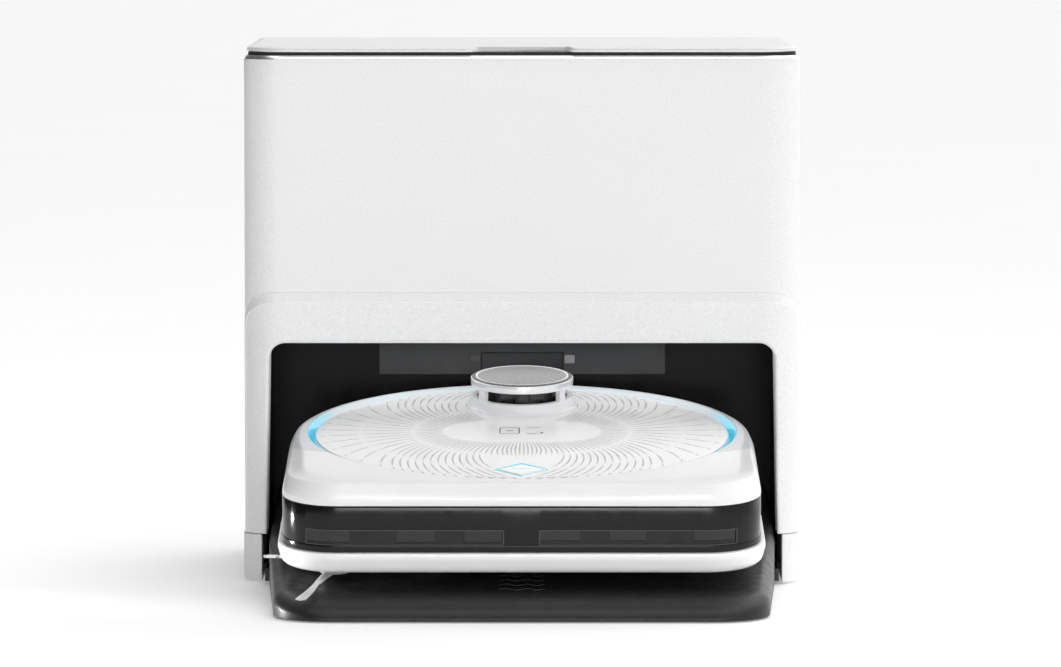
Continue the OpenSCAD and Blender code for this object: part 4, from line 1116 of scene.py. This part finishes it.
def build_arch():
    """Front arch: reveal, rounded edge, face, sloping ledge and a tucked-in rim, as one swept skin."""
    opening, inner, outer = arch_lines()
    rings = []
    r = 2.6 * MM
    rings.append(opening_ring(opening, 0, SEAM_Y - FACE_Y))
    rings.append(opening_ring(opening, 0, 10 * MM))
    for i in range(6):
        a = math.pi / 2 * i / 5
        rings.append(opening_ring(opening, r * (1 - math.cos(a)), r * (1 - math.sin(a))))
    leg_from = 180 * MM            # further out the opening's edge is upright
    for t in (0.06, 0.35, 0.65, 0.94):
        rings.append([])
        for (u0, z0), (u1, z1) in zip(opening, inner):
            upright = abs(u0) > leg_from
            u = u0 + (math.copysign(r, u0) if upright else 0)
            z = z0 if upright else z0 + r
            rings[-1].append((*cabinet_point(u + (u1 - u) * t, 0, 0), z + (z1 - z) * t))
    rings.append([(*cabinet_point(u, 0, 0), z) for u, z in inner])
    for t in (0.06, 0.35, 0.65, 0.94, 1.0):
        ring = []
        for (u0, z0), (u1, z1) in zip(inner, outer):
            u, z = u0 + (u1 - u0) * t, z0 + (z1 - z0) * t
            ring.append((*cabinet_point(u, PANEL_BACK * t, PANEL_SIDE * t), z))
        rings.append(ring)
    tucked = []
    for u, z in outer:
        x, y = cabinet_point(u, PANEL_BACK + 3.2 * MM, PANEL_SIDE + 3 * MM)
        tucked.append((x, y, z + 0.5 * MM))
    rings.append(tucked)
    add("front_arch", *strips(rings), "station", "station_white", angle=34, replaces=("arch_frame",))
    # Thin beads along both edges of the ledge and down the legs, whiter than the arch: painted highlight
    # where these edges catch the light.
    bead_in = [(*cabinet_point(u, 0, 0), z) for u, z in inner]
    bead_out = [(*cabinet_point(u, PANEL_BACK, PANEL_SIDE), z - 0.2 * MM) for u, z in outer]
    add("ledge_highlight_beads", *join_parts([tube(run, lambda t: 0.42 * MM, 8) for run in (bead_in, bead_out)]),
        "station", "station_white", BEAD_HIGHLIGHT_WHITE)
    build_side_flanks()


def build_side_flanks():
    """Flat strips between the ledge and the rear shell on both sides."""
    parts = []
    z0 = ARCH_LOW.z
    z1 = ARCH_HIGH.z - OUTER_CORNER[1] + 0.2 * MM
    for sign in (-1, 1):
        u0, u1 = FLAT_HALF + OUTER_CORNER[0] - 0.3 * MM, SIDE_END
        rings = []
        for depth in (0, 3 * MM):
            ring = []
            for u in spread(u0, u1, 2 * MM):
                x, y = cabinet_point(sign * u, PANEL_BACK + depth, PANEL_SIDE + depth)
                ring.append((x, y))
            rings.append(ring)
        loop = rings[0] + rings[1][::-1]
        parts.append(prism(loop, z0, z1))
    add("arch_flanks", *join_parts(parts), "station", "station_white", angle=34)


def closed_rows(rows):
    """Body whose section runs through the rows, with flat ends."""
    verts, faces = strips(rows, wrap=True)
    m = len(rows[0])
    faces.append(tuple(k * m for k in range(len(rows))))
    faces.append(tuple(k * m + m - 1 for k in range(len(rows))))
    return verts, faces


def build_panel():
    """Upper front panel. Its lower edge follows the arch's ledge round the corners."""
    us = spread(-SIDE_END, -FLAT_HALF, 2 * MM) + spread(-FLAT_HALF, FLAT_HALF, 16 * MM)[1:]
    us += spread(FLAT_HALF, SIDE_END, 2 * MM)[1:]
    bevel_z = PANEL_HIGH.z - 3.2 * MM
    rows = []
    t = 3 * MM
    low = [ARCH_HIGH.z - drop(u, *OUTER_CORNER) + 0.25 * MM for u in us]

    def row(inset, z_of):
        return [(*cabinet_point(u, PANEL_BACK + inset, PANEL_SIDE + inset), z_of(i))
                for i, u in enumerate(us)]

    rows.append(row(t, lambda i: low[i]))
    rows.append(row(0.4 * MM, lambda i: low[i]))
    rows.append(row(0.0, lambda i: low[i] + 0.4 * MM))
    soft = 0.4 * MM
    for k in range(1, 9):
        rows.append(row(0.0, lambda i, k=k: low[i] + soft + (bevel_z - 2 * soft - low[i]) * k / 8))
    rows.append(row(0.1 * MM, lambda i: bevel_z))
    rows.append(row(t, lambda i: bevel_z))
    add("upper_panel", *closed_rows(rows), "station", "station_white", angle=34, replaces=("front_panel",))
    top = PANEL_HIGH.z - 0.35 * MM
    rows = [row(t, lambda i: bevel_z + 0.05 * MM), row(0.25 * MM, lambda i: bevel_z + 0.05 * MM),
            row(0.3 * MM, lambda i: bevel_z + 0.2 * MM), row(1.7 * MM, lambda i: top - 0.3 * MM),
            row(2.1 * MM, lambda i: top), row(t, lambda i: top)]
    add("panel_bevel", *closed_rows(rows), "station", "station_white", BEVEL, angle=34)


def build_tray():
    """Ramp with a rolled edge: the CAD ramp inside a body whose border is rounded off."""
    low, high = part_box("ramp_tray")
    front, back = low.y + SKIN, high.y + 1 * MM
    half_front, half_back, corner = 176 * MM - SKIN, high.x - SKIN, 40 * MM
    slope = math.tan(math.acos(JOINTS["turret_spin"]["axis"][2]))
    origin = ROBOT.translation
    side_roll, nose_roll = 9 * MM, 30 * MM

    def surface(y):
        return origin.z - 0.3 * MM + (y - origin.y) * slope

    nose_drop = surface(front) - 2.2 * MM

    def plan(side, nose):
        """Outline drawn in by side at the sides and by nose at the front."""
        points = []
        rx, ry = corner - side, corner - nose
        xf = half_front - side
        for i in range(12):
            points.append(((xf - rx) * i / 12, front + nose, 0.0))
        for i in range(17):
            a = math.radians(-90 + 90 * i / 16)
            points.append((xf - rx + rx * math.cos(a), front + nose + ry + ry * math.sin(a), math.cos(a)))
        xb = half_back - side
        y0 = front + corner
        for i in range(1, 33):
            y = y0 + (back - y0) * i / 32
            taper = min(1.0, (y - y0) / (FACE_Y - y0))
            points.append((xf + (xb - xf) * taper, y, 1.0))
        return points + [(-x, y, w) for x, y, w in reversed(points[1:])]

    rings = [[(x, y, 0.9 * MM) for x, y, w in plan(0.8 * MM, 0.8 * MM)],
             [(x, y, 1.7 * MM) for x, y, w in plan(0, 0)]]
    steps = 12
    for i in range(steps + 1):
        a = math.pi / 2 * i / steps
        inset = 1 - math.cos(a)
        rings.append([(x, y, surface(y) - (nose_drop + (side_roll - nose_drop) * w) * (1 - math.sin(a)))
                      for x, y, w in plan(side_roll * inset, nose_roll * inset)])
    rings.append([(x, y, surface(y)) for x, y, w in plan(side_roll + 1.5 * MM, nose_roll + 1.5 * MM)])
    verts, faces = strips(rings, loop=True)
    n = len(rings[0])
    # close top and bottom with strips across; the first and last have a doubled corner to drop
    for base in (0, len(verts) - n):
        for i in range(n // 2):
            faces.append((base + i, base + i + 1, base + (n - i - 1) % n, base + (n - i) % n))
    faces = [tuple(dict.fromkeys(f)) for f in faces]
    # the hollows underneath start further back, so that the rolled nose stays closed
    y1 = front + 37 * MM
    block, sides = box_part((-half_front, front + SKIN, 1.3 * MM), (half_front, y1, 2 * MM))
    block = [(x, y, surface(y) - 1 * MM if z > 1.5 * MM else z) for x, y, z in block]
    mesh = cut(cleaned("ramp_tray", False), (block, sides), "UNION")
    mesh = cut(mesh, (verts, faces), "INTERSECT")
    finish_piece("ramp", mesh, "station", "tray_grey", angle=30, replaces=("ramp_tray",))
    # Embossed waves: the ridges are real relief, and their lighter grey is painted highlight.
    waves = []
    for row in range(4):
        y_mid = front + (42 + 13 * row) * MM
        line = [(x * MM, y_mid + 2.2 * MM * math.sin(x * 0.42)) for x in range(-16, 17)]
        waves.append(tube([(x, y, surface(y)) for x, y in line], lambda t: 0.45 * MM, 8))
    add("ramp_waves", *join_parts(waves), "station", "tray_grey", WAVE_HIGHLIGHT_GREY)


def build_lid():
    """Lid inside a body with rounder corners, a softened top and a thin groove above its edge."""
    low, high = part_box("lid")
    base = high.z - LID_T
    side, back = ST_HALF - 2.9 * MM, high.y + 2 * MM

    def plan(inset):
        r = 33 * MM - inset
        x, y = side - inset, low.y + inset
        points = [((x - r) * i / 8, y) for i in range(8)]
        for i in range(17):
            a = math.radians(-90 + 90 * i / 16)
            points.append((x - r + r * math.cos(a), y + r + r * math.sin(a)))
        points.append((x, back))
        return points + [(-px, py) for px, py in reversed(points[1:])]

    levels = [(0.5, -20), (0.5, 0.05), (0, 0.5), (0, 1.65), (0.5, 1.8), (0.5, 2.05), (0.15, 2.2),
              (0.7, 2.8), (1.9, 3.3), (4.0, 3.58), (6.5, 3.66)]
    verts, faces = tapered(plan, [(inset * MM, base + z * MM) for inset, z in levels])
    mesh = cut(cleaned("lid", False), (verts, faces), "INTERSECT")
    finish_piece("lid_cover", mesh, BODY_OF["lid"], SLOT_OF["lid"], angle=30, replaces=("lid",))


def between(table, v):
    """Values of a table at v, on straight lines between its rows."""
    for a, b in zip(table, table[1:]):
        if v <= b[0]:
            t = (v - a[0]) / (b[0] - a[0])
            return [p + (q - p) * t for p, q in zip(a[1:], b[1:])]
    return list(table[-1][1:])


def build_dust_bag():
    """Half-filled cloth bag, lofted: it bulges low down and is creased in to a flat welded seam."""
    low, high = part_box("dust_bag")
    mid, half = (low + high) / 2, (high - low) / 2
    tall = high.z - low.z
    # height, width and depth as shares of the bag's box
    shape = [(0, 0.70, 0.60), (0.015, 0.83, 0.77), (0.05, 0.92, 0.89), (0.12, 0.97, 0.96),
             (0.28, 0.995, 0.99), (0.45, 0.99, 0.98), (0.6, 0.975, 0.9), (0.74, 0.955, 0.72),
             (0.84, 0.94, 0.5), (0.9, 0.935, 0.3), (0.935, 0.93, 0.1), (0.95, 0.93, 0.028),
             (1.0, 0.93, 0.028)]
    rings = []
    for j in range(73):
        v = j / 72
        near = [between(shape, min(1.0, max(0.0, v + d))) for d in (-0.012, 0, 0.012)]
        wide, deep = [sum(n[k] for n in near) / 3 for k in (0, 1)]
        ring = []
        for i in range(120):
            a = 2 * math.pi * i / 120
            c, s = math.cos(a), math.sin(a)
            x = math.copysign(abs(c) ** 0.5, c)
            y = math.copysign(abs(s) ** 0.62, s)
            crease = 0.5 + 0.5 * math.sin(13 * x + 2.5 * math.sin(3 * v + x) + (1.3 if s > 0 else 0))
            fold = 0.5 + 0.5 * math.sin(19 * v + 2.2 * x * x)
            pull = 0.10 * crease * v ** 3 * (1 - v) * 6 + 0.035 * fold * (1 - v) + 0.02 * crease
            ring.append((mid.x + half.x * wide * x * (1 - 0.3 * pull),
                         mid.y + half.y * deep * y * (1 - pull), low.z + tall * v))
        rings.append(ring)
    body = BODY_OF["dust_bag"]
    bag = add("dust_bag_cloth", *capped(rings), body, "bag_cloth", angle=70, replaces=("dust_bag",))
    ribs = []
    for z in (0.962, 0.975, 0.988):
        reach = half.x * 0.915
        line = [(mid.x - reach + 2 * reach * i / 40, mid.y - half.y * 0.03, low.z + tall * z)
                for i in range(41)]
        ribs.append(tube(line, lambda t: 0.5 * MM, 6))
    add("dust_bag_weld", *join_parts(ribs), body, "bag_cloth")


def build_beacon():
    """Dark window in the recess of the dock panel, with a small lens on each side."""
    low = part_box("dock_panel")[0]
    front, recess = low.y, low.y + 5 * MM
    z0, z1 = low.z + 0.2 * MM, low.z + 16.8 * MM

    def pane(x0, x1, y, za, zb, r):
        def shape(inset):
            return pad_outline((x0, za), (x1, zb), r, inset, 4)
        levels = [(0.0, y), (0.0, y - 0.6 * MM), (0.25 * MM, y - 0.85 * MM), (0.7 * MM, y - 0.9 * MM)]
        verts, faces = tapered(shape, levels)
        return [(x, z, y) for x, y, z in verts], faces

    window = pane(-30.9 * MM, 30.9 * MM, recess - 1 * MM, z0, z1, 0.8 * MM)
    add("beacon_window", *window, "station", "liner_black")
    low_edge, high_edge = z0 + 8.5 * MM, z0 + 15 * MM
    for side, middle, slot in (("left", -36 * MM, "socket_black"), ("right", 36 * MM, "pulley_grey")):
        lens = pane(middle - 4 * MM, middle + 4 * MM, front + 0.5 * MM, low_edge, high_edge, 1.2 * MM)
        add("beacon_lens_" + side, *lens, "station", slot)


# ---------- stage

def build_stage():
    """Plain white floor that reaches past the horizon of every view."""
    size = 45.0
    verts = [(-size, -size, 0), (size, -size, 0), (size, size, 0), (-size, size, 0)]
    mesh = bpy.data.meshes.new("floor")
    mesh.from_pydata(verts, [], [(0, 1, 2, 3)])
    look = Look("floor_white", (0.93, 0.93, 0.93), 0.85).vary(3, 0.01).smudge(5, 0.05)
    look.glow((1, 1, 1), 0.22)
    mesh.materials.append(look.mat)
    floor = bpy.data.objects.new("floor", mesh)
    bpy.context.scene.collection.objects.link(floor)


def build_world():
    """Soft studio: bright above and to the right, dimmer to the left."""
    world = bpy.data.worlds.new("studio")
    bpy.context.scene.world = world
    world.use_nodes = True
    tree = world.node_tree
    sky = tree.nodes["Background"]
    place = tree.nodes.new("ShaderNodeTexCoord")
    parts = tree.nodes.new("ShaderNodeSeparateXYZ")
    tree.links.new(place.outputs["Generated"], parts.inputs["Vector"])

    def ramp(output, low, high, a, b):
        node = tree.nodes.new("ShaderNodeMapRange")
        node.interpolation_type = "SMOOTHSTEP"
        for key, value in (("From Min", a), ("From Max", b), ("To Min", low), ("To Max", high)):
            node.inputs[key].default_value = value
        tree.links.new(output, node.inputs["Value"])
        return node.outputs["Result"]

    def times(a, b):
        node = tree.nodes.new("ShaderNodeMath")
        node.operation = "MULTIPLY"
        tree.links.new(a, node.inputs[0])
        tree.links.new(b, node.inputs[1])
        return node.outputs[0]

    across = ramp(parts.outputs["X"], 0.03, 1.0, -0.62, 0.42)
    above = ramp(parts.outputs["Z"], 0.75, 1.15, 0.0, 0.9)
    behind = ramp(parts.outputs["Y"], 1.0, 1.9, 0.1, 0.7)
    tree.links.new(times(times(across, above), behind), sky.inputs["Strength"])
    sky.inputs["Color"].default_value = (1, 1, 1, 1)


def softbox(name, spot, target, width, height, power, spread=180):
    """Rectangular light in watts that faces a target. spread is the angle of its beam in degrees."""
    light = bpy.data.lights.new(name, "AREA")
    light.spread = math.radians(spread)
    light.shape = "RECTANGLE"
    light.size = width
    light.size_y = height
    light.energy = power
    ob = bpy.data.objects.new(name, light)
    ob.location = spot
    ob.rotation_euler = (Vector(target) - Vector(spot)).to_track_quat("-Z", "Y").to_euler()
    bpy.context.scene.collection.objects.link(ob)


def build_lights():
    middle = (0, 0, 0.18)
    softbox("right_front_box", (1.3, -6.5, 1.0), middle, 4.6, 3.0, 18.5)
    softbox("top_box", (0.3, -0.6, 3.2), middle, 3.0, 2.4, 22)
    softbox("low_front_box", (0.25, -3.6, 0.55), (0, -0.1, 0.09), 1.8, 0.5, 0.85, 30)
    softbox("left_rim", (-0.9, 0.05, 0.035), (-0.18, -0.17, 0.015), 0.12, 0.04, 0.05, 10)
    softbox("bay_box", (0, 0.06, 0.1765), (0, 0.04, 0), 0.34, 0.13, 0.17)


def build_camera():
    """Long lens in front of the station, a little above it and tipped down."""
    data = bpy.data.cameras.new("camera")
    data.lens = 203.6
    data.sensor_width = 36.0
    data.clip_end = 200.0
    camera = bpy.data.objects.new("camera", data)
    camera.location = (0.0063, -4.410, 0.533)
    camera.rotation_euler = (math.radians(90 - 4.51), 0, 0)
    bpy.context.scene.collection.objects.link(camera)
    bpy.context.scene.camera = camera


# ---------- everything

def build_rest():
    """CAD nodes whose shape is right: shown with rounded edges and their own finish."""
    done = {r for o in bpy.data.objects for r in o.get("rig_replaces", [])}
    widths = {"rear_shell": 0.7, "base_skirt": 1.6, "lid": 0.8, "cavity_liner": 0.6, "dock_panel": 0.8,
              "clean_tank": 1.2, "dirty_tank": 1.2, "tank_caps": 0.8, "dust_box": 0.8, "battery_pack": 0.8,
              "main_board": 0.15, "power_board": 0.2, "hinge_pins": 0.2, "station_screws": 0.15,
              "tyre_left": 0.35, "tyre_right": 0.35, "robot_contacts": 0.05, "fan_impeller": 0.25,
              "suction_fan": 0.25, "exhaust_grille": 0.5, "mop_plate": 0.8, "bag_collar": 0.3}
    for node in sorted(NODES):
        if node not in done:
            refined(node, widths.get(node, 0.4) * MM)


build_stage()
build_world()
build_lights()
build_camera()
build_bumper()
build_lip()
build_decks()
build_ring()
build_cover()
build_dashes()
build_button()
build_icons()
build_tower()
build_side_brush()
build_roller()
build_mop_pad()
build_arch()
build_panel()
build_tray()
build_lid()
build_dust_bag()
build_beacon()
build_rest()

scene = bpy.context.scene
scene.view_settings.view_transform = "Standard"
